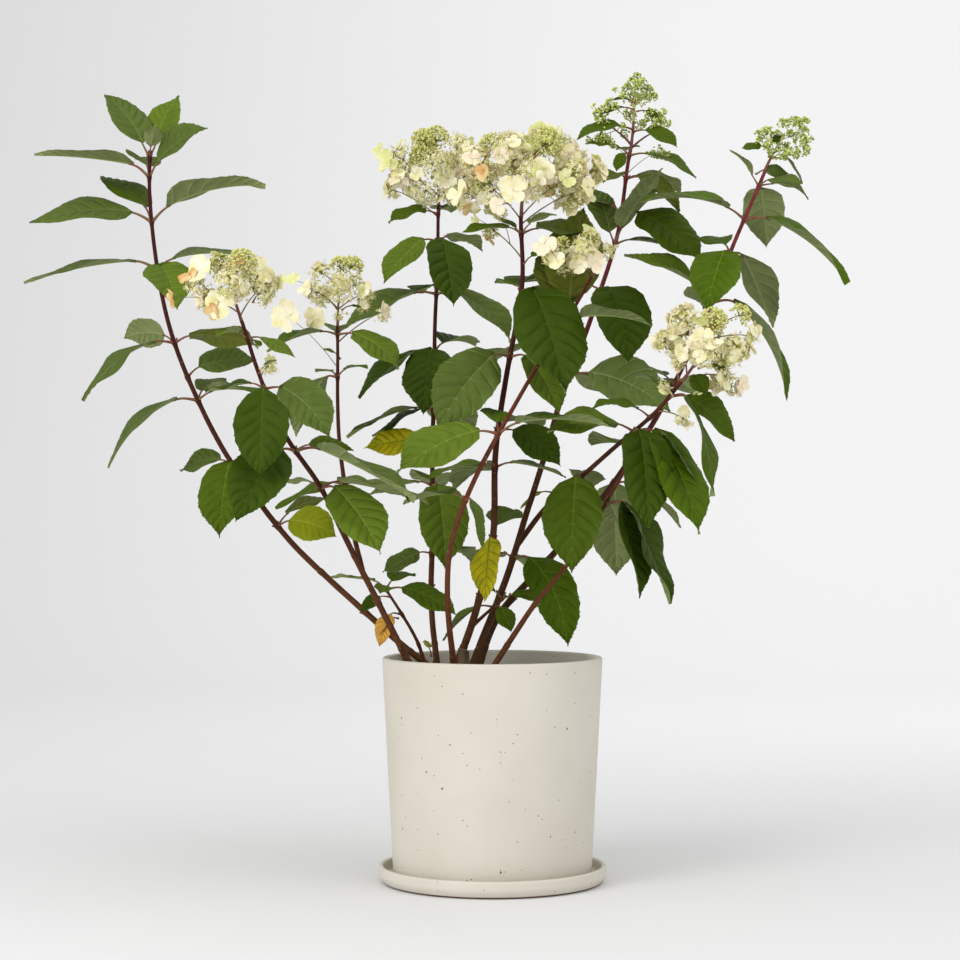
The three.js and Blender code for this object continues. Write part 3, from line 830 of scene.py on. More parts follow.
class Axis:
    """A smooth curve through points, read by its length in millimetres."""

    def __init__(self, route, in_soil, samples=48):
        points = [np.array(spot, float) for spot in route]
        if in_soil:
            points.insert(0, points[0] + unit(points[0] - points[1]) * 12)
        ends = [2 * points[0] - points[1], *points, 2 * points[-1] - points[-2]]
        spots = []
        for before, start, end, after in zip(ends, ends[1:], ends[2:], ends[3:]):
            gap0, gap1, gap2 = (
                np.linalg.norm(b - a) ** 0.5
                for a, b in ((before, start), (start, end), (end, after))
            )
            leave = ((start - before) / gap0 - (end - before) / (gap0 + gap1)
                     + (end - start) / gap1) * gap1
            arrive = ((end - start) / gap1 - (after - start) / (gap1 + gap2)
                      + (after - end) / gap2) * gap1
            share = np.arange(samples)[:, None] / samples
            spots.append(
                start + leave * share
                + (3 * (end - start) - 2 * leave - arrive) * share ** 2
                + (2 * (start - end) + leave + arrive) * share ** 3
            )
        self.spots = np.vstack([*spots, points[-1]])
        steps = np.linalg.norm(np.diff(self.spots, axis=0), axis=1)
        self.marks = np.concatenate([[0], np.cumsum(steps)])
        self.length = self.marks[-1]

    def at(self, distance):
        return np.stack(
            [np.interp(distance, self.marks, self.spots[:, i]) for i in range(3)], -1
        )

    def forward(self, distance):
        return unit(self.at(np.minimum(distance + 1, self.length))
                    - self.at(np.maximum(distance - 1, 0)))

    def reach_height(self, height):
        """The distance along the axis at which it first reaches a height."""
        above = np.argmax(self.spots[:, 2] >= height)
        low, high = self.spots[above - 1, 2], self.spots[above, 2]
        share = (height - low) / (high - low)
        return self.marks[above - 1] + share * (self.marks[above] - self.marks[above - 1])


for shoot in SHOOTS.values():
    shoot["axis"] = Axis(shoot["route"], "from" not in shoot)
    shoot["nodes"] = [shoot["axis"].reach_height(row[0]) for row in shoot["whorls"]]
print("longest shoot:", round(max(s["axis"].length for s in SHOOTS.values())), "mm")

# %% [markdown]
# ## Stems with the bark's relief
#
# Old stems are round, brown and finely ridged along their length. Each place where a
# leaf pair stood leaves a swollen ring. Young stems are smooth and wine red. A stem is
# rings of points round its axis, and the ridges and rings are added to the radius, so
# they are real relief. The colour goes from brown to wine red by height. A few stems
# are orange brown or rose red, so they have finishes of their own.

# %% Bark finishes
def bark(name, foot, middle, top, heights, roughness=0.55):
    """Bark whose colour changes with height, with fine lengthwise relief."""
    material = finish(name, middle, roughness, bump=0.55, bump_scale=700,
                      stretch=(1, 1, 0.12), specular=0.12)
    tree, link = material.node_tree, material.node_tree.links.new
    place = next(node for node in tree.nodes if node.type == "TEX_COORD")
    split = add_node(tree, "ShaderNodeSeparateXYZ")
    level = add_node(tree, "ShaderNodeMapRange", {"From Min": heights[0] / 1000,
                                                  "From Max": heights[1] / 1000})
    ramp = add_node(tree, "ShaderNodeValToRGB")
    ramp.color_ramp.elements[0].color = (*foot, 1)
    ramp.color_ramp.elements[1].color = (*top, 1)
    ramp.color_ramp.elements.new(0.45).color = (*middle, 1)
    values = {"Second colour": (*[0.55 * c for c in middle], 1), "Scale": 130, "Low": 0.45,
              "High": 0.85}
    blotches = add_node(tree, "ShaderNodeGroup", values, node_tree=BLOTCHES)
    link(place.outputs["Object"], split.inputs["Vector"])
    link(place.outputs["Object"], blotches.inputs["Vector"])
    link(split.outputs["Z"], level.inputs["Value"])
    link(level.outputs["Result"], ramp.inputs["Fac"])
    link(ramp.outputs["Color"], blotches.inputs["Colour"])
    link(blotches.outputs["Colour"], tree.nodes["Principled BSDF"].inputs["Base Color"])
    return material


BARKS = [
    bark("brown_to_wine_bark", paint(98, 60, 32), paint(72, 35, 20), paint(66, 20, 26),
         (205, 720)),
    bark("orange_brown_bark", paint(92, 54, 28), paint(106, 58, 34), paint(90, 38, 30),
         (205, 620)),
    bark("rose_red_bark", paint(88, 60, 30), paint(76, 40, 26), paint(128, 50, 56),
         (205, 740)),
]
BARK_OF = {"front": 1, "low_right": 1, "right": 2, "tall": 2, "tall_fork": 2}
print("barks:", *(material.name for material in BARKS))


# %% Tubes and stems
def tube(path, radius, sides, across, relief=0.0):
    """Points and faces of a closed tube along a path. Radius is one value a ring."""
    path = np.asarray(path, float)
    forward = unit(np.gradient(path, axis=0))
    one = np.broadcast_to(np.asarray(across, float), path.shape)
    one = unit(one - (one * forward).sum(1, keepdims=True) * forward)
    two = np.cross(one, forward)
    angle = np.arange(sides) / sides * 2 * math.pi
    reach = (np.asarray(radius, float)[:, None] + relief)[..., None]
    rings = path[:, None] + reach * (np.cos(angle)[None, :, None] * one[:, None]
                                     + np.sin(angle)[None, :, None] * two[:, None])
    rings = np.concatenate([
        np.repeat(path[:1, None], sides, 1), rings, np.repeat(path[-1:, None], sides, 1),
    ])
    faces = grid_faces(len(rings), sides, closed=True)[:, ::-1]
    return rings.reshape(-1, 3), faces


def bark_relief(steps, sides, along, seed, rough):
    """Lengthwise ridges that wander round the stem, in millimetres."""
    angle = np.arange(sides) / sides * 2 * math.pi
    field = np.zeros((steps, sides))
    for ridge, share in ((3, 0.5), (5, 0.35), (7, 0.3), (8, 0.25)):
        wander = ridge * angle[None] + 0.02 * ridge * spread(seed, ridge) * along[:, None]
        swing = np.sin(along * (0.05 + 0.07 * chance(seed, ridge + 20)) + ridge)
        field += share * np.sin(wander + 1.2 * swing[:, None])
    return field * rough[:, None]


STEM_SIDES, STEM_STEP = 16, 1.9
FLARE, FLARE_END, FLARE_FADE = 0.3, 12, 9  # a stem's foot, which is thicker in the soil
OLD_RING, FRESH_RING = (0.2, 3.2), (0.34, 3.4)  # how high and how wide a leaf's ring is


def stem_radius(shoot, distance):
    """The solid's own taper, with the swelling where a stem leaves the soil."""
    share = distance / shoot["axis"].length
    radius = (shoot["thick"][0] + (shoot["thick"][1] - shoot["thick"][0]) * share) / 2
    if "from" not in shoot:
        past = np.maximum(0, distance - FLARE_END)
        radius = radius * (1 + FLARE * np.exp(-past / FLARE_FADE))
    return radius


def grow_stem(skin, name, shoot, seed):
    """One stem with its rings, a groove above each ring, and ridges on its older part."""
    axis = shoot["axis"]
    start = 0 if "from" in shoot else 6
    steps = int((axis.length - start) / STEM_STEP)
    along = np.linspace(start, axis.length, steps)
    radius = stem_radius(shoot, along)
    # Rings whose leaves fell in earlier years, at even steps below the first whorl.
    old_nodes = np.arange(44 + 20 * chance(seed, 31), shoot["nodes"][-1] - 25,
                          52 + 16 * chance(seed, 32))
    shoot["old_nodes"] = old_nodes
    for node, size, width in (*((n, *OLD_RING) for n in old_nodes),
                              *((n, *FRESH_RING) for n in shoot["nodes"])):
        radius = radius + size * 2.2 * np.exp(-((along - node) / width) ** 2)
        radius = radius - 0.28 * np.exp(-((along - node - 3.4) / 0.9) ** 2)
    age = 1 - along / axis.length
    relief = bark_relief(steps, STEM_SIDES, along, seed, 0.05 + 0.26 * age ** 2)
    path = axis.at(along)
    path[:, 0] += 0.5 * np.sin(along * 0.045 + seed) * np.minimum(1, along / 60)
    points, faces = tube(path, radius, STEM_SIDES, (0, 1, 0), relief)
    skin.add(points, faces, BARK_OF.get(name, 0))


stems = Skin()
for seed, (name, shoot) in enumerate(SHOOTS.items()):
    grow_stem(stems, name, shoot, seed + 1)
foliage_nodes = ["foliage_" + name for name in SHOOTS]
stem_nodes = ["cane_" + name for name in SHOOTS] + foliage_nodes
dress(stems.build("stems", BARKS, crease=0), stem_nodes)

# %% [markdown]
# An old cane was cut back in the middle of the pot. Its stub is grey and split, with a
# slanted cut that shows the pith. A few thin dead twigs stand and lie beside it.

# %% Stump and dead twigs
OLD_WOOD = finish("weathered_wood", paint(112, 90, 68), 0.9, paint(66, 50, 38), 90,
                  bump=0.9, bump_scale=350, stretch=(1, 1, 0.1))
CUT_WOOD = finish("cut_wood", paint(150, 126, 96), 0.9, paint(104, 82, 58), 300)


def make_stump(at=(-30, -8), radii=(6.8, 5.6), height=38, slant=14, sides=28):
    skin = Skin()
    levels = np.linspace(0, 1, 24)
    angle = np.arange(sides) / sides * 2 * math.pi
    ridges = 0.35 * np.sin(5 * angle + 1) + 0.25 * np.sin(9 * angle) - 0.4 * (
        np.cos(angle - 4.4) > 0.97)
    points = []
    for level in levels:
        radius = radii[0] + (radii[1] - radii[0]) * level + ridges
        x, y = at[0] + radius * np.cos(angle), at[1] + radius * np.sin(angle)
        top = height - 2 - (x - at[0]) * math.tan(math.radians(slant))
        points.append(np.stack([x, y, SOIL_TOP - 4 + level * (top + 4)], 1))
    middle = points[-1].mean(0)
    points = [np.repeat(points[0].mean(0)[None], sides, 0), *points,
              middle + (points[-1] - middle) * 0.4 - (0, 0, 0.6),
              np.repeat((middle - (0, 0, 2.2))[None], sides, 0)]
    faces = grid_faces(len(points), sides, closed=True)
    tones = np.where(np.arange(len(faces)) // sides > len(levels) - 1, 1, 0)
    skin.add(np.concatenate(points), faces, tones)
    for foot, heading, rise, length in (
            ((-80, -14, 205), 160, 62, 34), ((-66, -22, 205), 110, 74, 24),
            ((-22, -24, 205), 20, 70, 22), ((-38, 2, 205), 250, 58, 26),
            ((8, -20, 206), 200, 12, 40), ((-60, 30, 205), 100, 66, 30)):
        share = np.linspace(-0.15, 1, 10)[:, None]
        path = np.array(foot) + direction(heading, rise) * length * share
        path = path + direction(heading + 90, 0) * 2 * np.sin(share * 4)
        width = 1.5 - 0.6 * share[:, 0] + 0.2 * np.sin(share[:, 0] * 20)
        skin.add(*tube(path, width, 8, direction(heading + 90, 0)), 0)
    return skin.build("old_wood", [OLD_WOOD, CUT_WOOD])


dress(make_stump(), ["stump"])


# %% [markdown]
# Pores and buds sit on the stems. Pores are tiny pale grains that break the bark, and a
# pair of small pointed buds sits at every ring. Both are planted by the node tree.

# %% Pores and buds on the stems
def ring_spots(shoot, distance, angle, lift):
    """Places on a stem's surface and the ways that they face."""
    axis = shoot["axis"]
    forward = axis.forward(distance)
    one = unit(np.array([0, 1, 0]) - forward[:, 1:2] * forward)
    two = np.cross(one, forward)
    outward = np.cos(angle)[:, None] * one + np.sin(angle)[:, None] * two
    reach = (stem_radius(shoot, distance) + lift)[:, None]
    return axis.at(distance) + outward * reach, outward, forward


def stem_details():
    pores, faces_out, bud_spots, bud_aims = [], [], [], []
    for shoot in SHOOTS.values():
        length = shoot["axis"].length
        count = int(length / 5)
        distance = draw.uniform(16, length, count)
        spots, outward, _ = ring_spots(shoot, distance, draw.uniform(*SPIN, count), 0.02)
        pores.append(spots)
        faces_out.append(outward)
        places = np.concatenate([shoot["old_nodes"], shoot["nodes"]])
        turn = np.arange(len(places)) * 1.57 + 0.4
        for half in (0, math.pi):
            spots, outward, forward = ring_spots(shoot, places + 2.5, turn + half, 0.6)
            bud_spots.append(spots)
            bud_aims.append(outward * 0.7 + forward)
    return tuple(map(np.concatenate, (pores, faces_out, bud_spots, bud_aims)))


PORE = finish("bark_pores", paint(176, 140, 112), 0.9)
BUD_SCALE = finish("bud_scales", paint(112, 92, 52), 0.7, paint(96, 44, 38), 220)
pores, pore_aims, bud_spots, bud_aims = stem_details()
dress(plant_copies("bark_pores", pebble("pore", 1, 4, (0.42, 0.42, 0.2)), PORE, pores,
                   pore_aims, draw.uniform(*SPIN, len(pores)),
                   draw.uniform(0.6, 1.3, len(pores))), stem_nodes)
dress(plant_copies("stem_buds", pebble("bud", 3, 6, (1.2, 0.8, 2.1)), BUD_SCALE, bud_spots,
                   bud_aims, draw.uniform(*SPIN, len(bud_spots)),
                   draw.uniform(0.8, 1.3, len(bud_spots))), stem_nodes)

# %% [markdown]
# ## Leaves
#
# A panicle hydrangea's leaf is a pointed oval on a short reddish stalk. Side veins leave
# the midrib and arch forward to the margin, the blade swells a little between them, and
# the margin has fine teeth. The blade's rows of points run along those veins, so a vein
# is a row of the mesh with faces of its own finish, and the swelling is real relief. The
# two sides are separate skins that meet at the margin, because the underside is paler.
# Each leaf has a green of its own with soft blotches of a darker one. The greens are
# dealt out by leaf: fresh ones in the light, deep ones inside, and a few leaves that turn
# yellow or have dried. The fresh and deep greens are lighter and darker partly as painted
# light and shade, and the greyer sheen green is a painted sheen, the reflection on a glossy
# leaf. Some leaves also grow between the whorls, most of them small.

# %% Leaf finishes
# The sheen tone's greyer, paler green is a painted sheen: the reflection of a glossy leaf put
# into its colour. Deep greens go to leaves inside the crown and are darker partly as painted
# shade, and fresh greens are lighter partly as painted light.
GREENS = {
    "deep": (paint(57, 77, 8), paint(66, 88, 18)),
    "middle": (paint(74, 94, 14), paint(92, 114, 30)),
    "painted_sheen": (paint(86, 103, 42), paint(108, 125, 66)),
    "fresh": (paint(94, 115, 30), paint(114, 136, 54)),
    "pale": (paint(106, 124, 62), paint(140, 156, 104)),
    "bright": (paint(78, 103, 12), paint(102, 130, 28)),
    "olive": (paint(84, 92, 26), paint(106, 113, 48)),
    "lime": (paint(122, 130, 14), paint(140, 146, 40)),
    "yellow": (paint(172, 160, 18), paint(112, 124, 30)),
    "dry": (paint(202, 156, 68), paint(146, 92, 44)),
}
TONE_NAMES = list(GREENS)
UNDERSIDES = {"green": paint(128, 140, 88), "yellow": paint(150, 148, 60),
              "dry": paint(170, 130, 76)}
LEAF_FINISHES = []
for tone, (blade, vein) in GREENS.items():
    patch = GREENS["lime"][0] if tone == "yellow" else tuple(0.78 * c for c in blade)
    LEAF_FINISHES.append(finish("leaf_" + tone, blade, 0.5, patch, 70, 0.45, 0.8, 0.35,
                                1100, specular=0.08))
    LEAF_FINISHES.append(finish("vein_" + tone, vein, 0.6, specular=0.08))
for tone, colour in UNDERSIDES.items():
    LEAF_FINISHES.append(finish("underside_" + tone, colour, 0.75,
                                tuple(0.86 * c for c in colour), 90, bump=0.3,
                                bump_scale=1100, specular=0.15))
    LEAF_FINISHES.append(finish("underside_vein_" + tone,
                                tuple(min(1, 1.3 * c) for c in colour), 0.75,
                                specular=0.15))
UNDER_START = 2 * len(GREENS)
print("leaf finishes:", len(LEAF_FINISHES))

# %% The leaf's own grid
SIDE_VEINS = 7
VEIN_HALF = 0.0042  # half a side vein, as a share of the blade's length
MIDRIB_HALF = 0.011  # half the midrib, in the same way
BLADE_HALF = 0.28  # half a blade's thickness in millimetres
MARGIN_WAVE = 0.034  # how high the margin waves, as a share of the length
COLUMNS = np.array([0, 0.04, 0.2, 0.4, 0.6, 0.8, 1.0])  # shares of the half width


def leaf_rows():
    """Where each row leaves the midrib, whether it is on a vein, and its swelling."""
    veins = 0.075 + 0.80 * (np.arange(SIDE_VEINS) / (SIDE_VEINS - 1)) ** 0.92
    rows, swell, tooth = [0.0, 0.035], [0, 0.3], [0, 0.3]
    for vein, after in zip(veins, [*veins[1:], 1.0]):
        gap = after - vein
        rows += [vein - VEIN_HALF, vein, vein + VEIN_HALF]
        rows += [vein + 0.36 * gap, vein + 0.68 * gap]
        swell += [-0.35, -1, -0.35, 0.9, 0.8]
        tooth += [0.1, 1, -0.1, 0.85, -0.15]
    rows += [0.975, 1.0]
    swell += [0, 0]
    tooth += [0, 0]
    return np.array(rows), np.array(swell), np.array(tooth)


ROWS, SWELL, TOOTH = leaf_rows()
ON_VEIN = np.array([-1 <= s <= -0.3 for s in SWELL])
PETIOLE = finish("leaf_stalks", paint(128, 66, 52), 0.6, paint(112, 104, 52), 120)


def half_width(share):
    """The blade's half outline: widest at two fifths, with a drawn-out tip."""
    share = np.clip(share, 0, 1)
    return np.sin(math.pi * share ** 0.85) ** (0.6 + 0.9 * share ** 4)


def leaf_shares():
    """Each grid point's place along the blade and across it, as shares."""
    margin = ROWS + 0.72 * ROWS ** 0.8 * (1 - ROWS)
    across = COLUMNS[None]
    along = ROWS[:, None] + (margin - ROWS)[:, None] * across ** 1.2
    return along, np.broadcast_to(across, along.shape)


ALONG, ACROSS = leaf_shares()
print("grid of a half blade:", ALONG.shape)


# %% One leaf
def leaf_frame(node, size, seed, slim=1.0):
    """The sizes and the arc of one leaf on its node, by the same rule as its solid."""
    length, heading, rise = size[:3]
    twist = size[3] if len(size) > 3 else 0
    leaf = {"length": length, "heading": heading, "seed": seed}
    # A long, level blade hangs more, unless its bend is given.
    droop = (22 + 18 * spread(seed, 1)
             + 0.22 * (length - 60) * math.cos(math.radians(rise)))
    if len(size) > 4:
        droop = size[4]
    leaf["width"] = length * (0.58 + 0.05 * spread(seed, 2)) * slim
    leaf["fold"] = math.tan(math.radians(14 + 8 * spread(seed, 3)))
    front = -twist if math.cos(math.radians(heading)) < 0 else twist
    leaf["turn"] = math.radians(front + 12 * spread(seed, 4))
    leaf["stalk_rise"] = min(60, max(5, rise + 35))
    leaf["node"] = node
    stalk = direction(heading, leaf["stalk_rise"]) * (9 + 0.12 * length)
    leaf["foot"] = node + stalk
    leaf["first"] = math.radians(rise + droop / 2)
    leaf["bend"] = math.radians(droop)
    return leaf


def blade_points(leaf, along, side, over_extra):
    """Places on the blade: along as a share, side in millimetres to either side."""
    length, first, bend = leaf["length"], leaf["first"], leaf["bend"]
    angle = first - bend * along
    level_out = direction(leaf["heading"], 0)
    out = length * (math.sin(first) - np.sin(angle)) / bend
    up = length * (np.cos(angle) - math.cos(first)) / bend
    forward = (np.cos(angle)[..., None] * level_out
               + np.sin(angle)[..., None] * np.array([0, 0, 1]))
    heading = math.radians(leaf["heading"])
    level = np.array([math.sin(heading), -math.cos(heading), 0])
    turn = leaf["turn"] + math.radians(10 * spread(leaf["seed"], 8)) * (along - 0.4)
    beside = (np.cos(turn)[..., None] * level
              + np.sin(turn)[..., None] * np.cross(forward, level))
    over = np.cross(beside, forward)
    lift = np.abs(side) * leaf["fold"] + over_extra
    return (leaf["foot"] + out[..., None] * level_out + up[..., None] * np.array([0, 0, 1])
            + side[..., None] * beside + lift[..., None] * over)


def grow_leaf(skin, leaf, tone):
    """Both halves of a blade, each with its upper and its lower skin."""
    length, seed = leaf["length"], leaf["seed"]
    along, across = ALONG, ACROSS
    half = leaf["width"] / 2 * half_width(along)
    midrib = min(0.9, MIDRIB_HALF * length)
    side = across * half
    side[:, 1] = np.minimum(midrib * (1.15 - ROWS), 0.5 * side[:, 2])
    teeth = (0.45 + 0.009 * length) * TOOTH * np.sin(math.pi * np.clip(ROWS, 0, 1)) ** 0.3
    side[:, -1] += np.where(side[:, -1] > 1, teeth, 0)
    inward = 4 * across * (1 - across)
    swelling = (0.3 + 0.0075 * length) * SWELL[:, None] * inward ** 0.7
    droop_edge = -0.10 * half * across ** 3
    thin = BLADE_HALF * (1 - across ** 4)
    number = 2 * TONE_NAMES.index(tone)
    under = UNDER_START + {"yellow": 2, "lime": 2, "dry": 4}.get(tone, 0)
    rows, columns = along.shape
    vein_row = ON_VEIN[:-1] & ON_VEIN[1:]
    strip = np.zeros((rows - 1, columns - 1), bool)
    strip[vein_row] = True
    strip[:, 0] = True
    for hand in (-1, 1):
        wave = (MARGIN_WAVE * length * across ** 2 * np.sin(
            2 * math.pi * (along * (1.2 + 0.5 * chance(seed, 9)) + chance(seed, 10 + hand))))
        curl = droop_edge + wave * (0.6 + 0.8 * chance(seed, 12))
        ridge = np.zeros_like(along)
        ridge[:, 0] = -midrib * (1.1 - ROWS)
        top = blade_points(leaf, along, hand * side,
                           curl + swelling + thin + 0.5 * ridge)
        low = blade_points(leaf, along, hand * side,
                           curl + swelling - thin + 1.1 * ridge)
        faces = grid_faces(rows, columns)
        halves = np.concatenate([faces[:, [0, 1, 2, 2]], faces[:, [0, 2, 3, 3]]])
        turned_over = halves[:, ::-1]
        upward, downward = (halves, turned_over) if hand > 0 else (turned_over, halves)
        skin.add(top, upward, number + np.tile(strip.ravel(), 2))
        skin.add(low, downward, under + np.tile(strip.ravel(), 2))


def grow_stalk(skin, leaf):
    """A bent stalk from the stem into the midrib, thickest at the stem."""
    start = leaf["node"] + direction(leaf["heading"], leaf["stalk_rise"]) * 0.5
    inside = blade_points(leaf, np.array([0.05]), np.array([0.0]), np.array([-0.8]))[0]
    share = np.linspace(0, 1, 8)[:, None]
    reach = np.linalg.norm(leaf["foot"] - start)
    elbow = leaf["foot"] - direction(leaf["heading"], math.degrees(leaf["first"])) * (
        0.25 * reach)
    path = ((1 - share) ** 3 * start + 3 * share * (1 - share) ** 2 * (
        start + direction(leaf["heading"], leaf["stalk_rise"]) * 0.4 * reach)
        + 3 * share ** 2 * (1 - share) * elbow + share ** 3 * inside)
    width = (0.75 + 0.0075 * leaf["length"]) * (1 + 0.5 * np.exp(-share[:, 0] * 7)
                                                - 0.35 * share[:, 0])
    heading = math.radians(leaf["heading"])
    across = (math.sin(heading), -math.cos(heading), 0)
    skin.add(*tube(path, width, 8, across), 0)


trial = leaf_frame(np.zeros(3), [100, 0, 30], 1)
print(f"a leaf of 100 mm is {trial['width']:.0f} mm wide")


# %% Dealing out the colours
LEAF_TONES = {
    ("back", 495, 1): "deep", ("far_left", 368, 0): "lime", ("center", 356, 1): "yellow",
    ("tall", 532, 0): "pale", ("center", 612, 0): "deep", ("left", 506, 0): "deep",
    ("front", 463, 0): "fresh", ("center", 545, 0): "painted_sheen", ("back", 495, 2): "fresh",
    ("left", 408, 0): "fresh", ("left", 506, 1): "painted_sheen", ("far_left", 434, 0): "middle",
    ("tall", 334, 0): "bright", ("low_right", 392, 0): "deep",
    ("low_right", 392, 1): "deep", ("low_right", 444, 0): "middle",
    ("tall_fork", 466, 0): "deep", ("tall_fork", 420, 0): "middle",
    ("right", 665, 0): "bright", ("right", 702, 1): "bright", ("tall", 680, 0): "painted_sheen",
    ("tall", 680, 1): "olive",
    ("back", 560, 1): "deep", ("base_twig", 278, 0): "dry", ("front", 576, 1): "olive",
    ("left_fork", 526, 2): "fresh", ("left", 445, 0): "deep", ("left", 445, 1): "painted_sheen",
    ("tall", 628, 0): "deep", ("tall", 715, 0): "middle", ("center", 468, 0): "deep",
    ("back", 685, 1): "deep", ("back", 625, 0): "painted_sheen", ("back", 625, 1): "painted_sheen",
    ("base_twig", 304, 0): "middle", ("spur", 284, 1): "fresh", ("front", 396, 0): "painted_sheen",
    ("right", 414, 0): "painted_sheen",
}
# Leaves that are narrower than the rule makes them.
SLIM = {("tall", 334, 0): 0.74, ("front", 396, 0): 0.5, ("center", 356, 1): 0.8}
GROUPS = {
    "far_left": ["painted_sheen", "middle", "painted_sheen", "olive", "fresh"],
    "right": ["bright", "middle", "painted_sheen", "fresh"],
    "tall": ["olive", "middle", "painted_sheen", "deep"],
    "back": ["deep", "middle", "painted_sheen", "fresh"],
}
COMMON = ["deep", "middle", "painted_sheen", "fresh", "bright", "middle"]
# Leaves between the whorls: small ones by the flowers, young or dried ones lower down,
# and a large one in the middle of the crown.
EXTRA_LEAVES = [
    [[161, 190, 840], [19, 182, -6, 30], "deep"],
    [[160, 190, 833], [30, 184, -19, 20], "deep"],
    [[157, 188, 811], [52, 188, -19, 25, 30], "middle"],
    [[161, 188, 831], [18, 350, -35, 50], "deep"],
    [[158, 190, 809], [43, 342, -31, 30], "middle"],
    [[154, 188, 782], [26, 230, -60, 20], "middle"],
    [[286, 112, 750], [28, 12, -8, 65], "painted_sheen"],
    [[307, 110, 767], [33, 350, -59, 10], "painted_sheen"],
    [[300, 112, 776], [14, 20, 30, 60], "deep"],
    [[303, 112, 776], [22, 184, -8, 50], "middle"],
    [[-238, -138, 552], [15, 300, -30], "middle"],
    [[-230, -134, 520], [14, 340, 20], "deep"],
    [[-236, -136, 590], [13, 315, 10], "deep"],
    [[-161, 58, 598], [16, 330, -10], "deep"],
    [[-161, 52, 545], [13, 190, 15, 20], "fresh"],
    [[30, -10, 668], [26, 150, 30], "middle"],
    [[32, -12, 640], [30, 20, 12, 20], "middle"],
    [[198, -86, 520], [34, 290, -40, 20], "deep"],
    [[206, -84, 528], [26, 10, -20, 20], "middle"],
    [[75, -24, 584], [106, 62, 71, 20, 25], "olive"],
    [[-104, -26, 296], [26, 200, -40, 40], "deep"],
    [[-66, 130, 454], [62, 174, -8, 70, 15], "yellow"],
    [[66, 108, 404], [30, 186, -40, -20], "lime"],
    [[-96, -24, 274], [20, 205, -58, 20], "dry"],
    [[-62, -48, 236], [17, 250, 30, 20], "lime"],
]
# Three pieces, so that each stays below 200,000 triangles.
leaf_skins = [Skin(), Skin(), Skin()]
stalks = Skin()
LEAVES = []
seed = 0
for name, shoot in SHOOTS.items():
    for height, *sizes in shoot["whorls"]:
        for number, size in enumerate(sizes):
            seed += 1
            node = shoot["axis"].at(shoot["axis"].reach_height(height))
            leaf = leaf_frame(node, size, seed, SLIM.get((name, height, number), 1))
            choices = GROUPS.get(name, COMMON)
            tone = LEAF_TONES.get((name, height, number),
                                  choices[int(chance(seed, 14) * len(choices))])
            LEAVES.append((leaf, tone))
for place, size, tone in EXTRA_LEAVES:
    seed += 1
    LEAVES.append((leaf_frame(np.array(place, float), size, seed), tone))
print("leaves:", len(LEAVES))
for number, (leaf, tone) in enumerate(LEAVES):
    grow_leaf(leaf_skins[number * len(leaf_skins) // len(LEAVES)], leaf, tone)
    grow_stalk(stalks, leaf)
for number, skin in enumerate(leaf_skins):
    dress(skin.build(f"leaves_{number + 1}", LEAF_FINISHES, weld=True, crease=70),
          foliage_nodes)
dress(stalks.build("leaf_stalks", [PETIOLE], crease=0), foliage_nodes)

# %% [markdown]
# ## Flower heads
#
# A head is a branched spike. Its side branches carry dense tufts of small fertile
# florets, and showy florets of four broad sepals stand out between them. The top opens
# last, so it is still green buds, and two heads are all buds. An open head has tufts where
# the solid has its clusters, and further ones where the real head bulges. A head in bud
# has only tufts of its own list, small and loose, on stalks that branch. Stamens make a
# tuft look fuzzy, so every second small floret has them.

# %% Little flowers
PETAL = finish("small_petals", paint(244, 239, 204), 0.7, paint(214, 208, 124), 160,
               specular=0.05)
STAMEN = finish("stamens", paint(238, 229, 192), 0.7, paint(198, 172, 100), 260,
                specular=0.05)
BUD_CREAM = finish("cream_buds", paint(226, 223, 154), 0.65, paint(178, 184, 80), 260,
                   specular=0.05)
BUD_GREEN = finish("green_buds", paint(236, 240, 158), 0.6, paint(126, 150, 44), 320,
                   0.35, 0.6, specular=0.05)
SEPALS = [
    finish(tone + "_sepals", colour, roughness, second, 90, bump=0.3, bump_scale=300,
           specular=0.05)
    for tone, colour, roughness, second in (
        ("cream", paint(246, 240, 210), 0.62, paint(230, 222, 154)),
        ("green", paint(219, 222, 148), 0.62, paint(240, 236, 190)),
        ("tan", paint(228, 202, 148), 0.75, paint(204, 152, 86)),
        ("pink", paint(243, 226, 200), 0.62, paint(246, 240, 206)),
    )
]


def small_floret():
    """Five blunt petals round a low cup, one millimetre to a petal's tip."""
    points, faces = [(0, 0, -0.25), (0, 0, 0.22)], []
    for petal in range(5):
        angle = 2 * math.pi * petal / 5
        for turn, reach, rise in ((-0.3, 0.85, 0.1), (0.3, 0.85, 0.2), (0.63, 0.3, 0.0)):
            points.append((reach * math.cos(angle + turn), reach * math.sin(angle + turn),
                           rise))
    count = len(points) - 2
    for corner in range(count):
        after = 2 + (corner + 1) % count
        faces.append((1, 2 + corner, after))
        faces.append((0, after, 2 + corner))
    return little_shape("small_floret", points, faces, smooth=False)


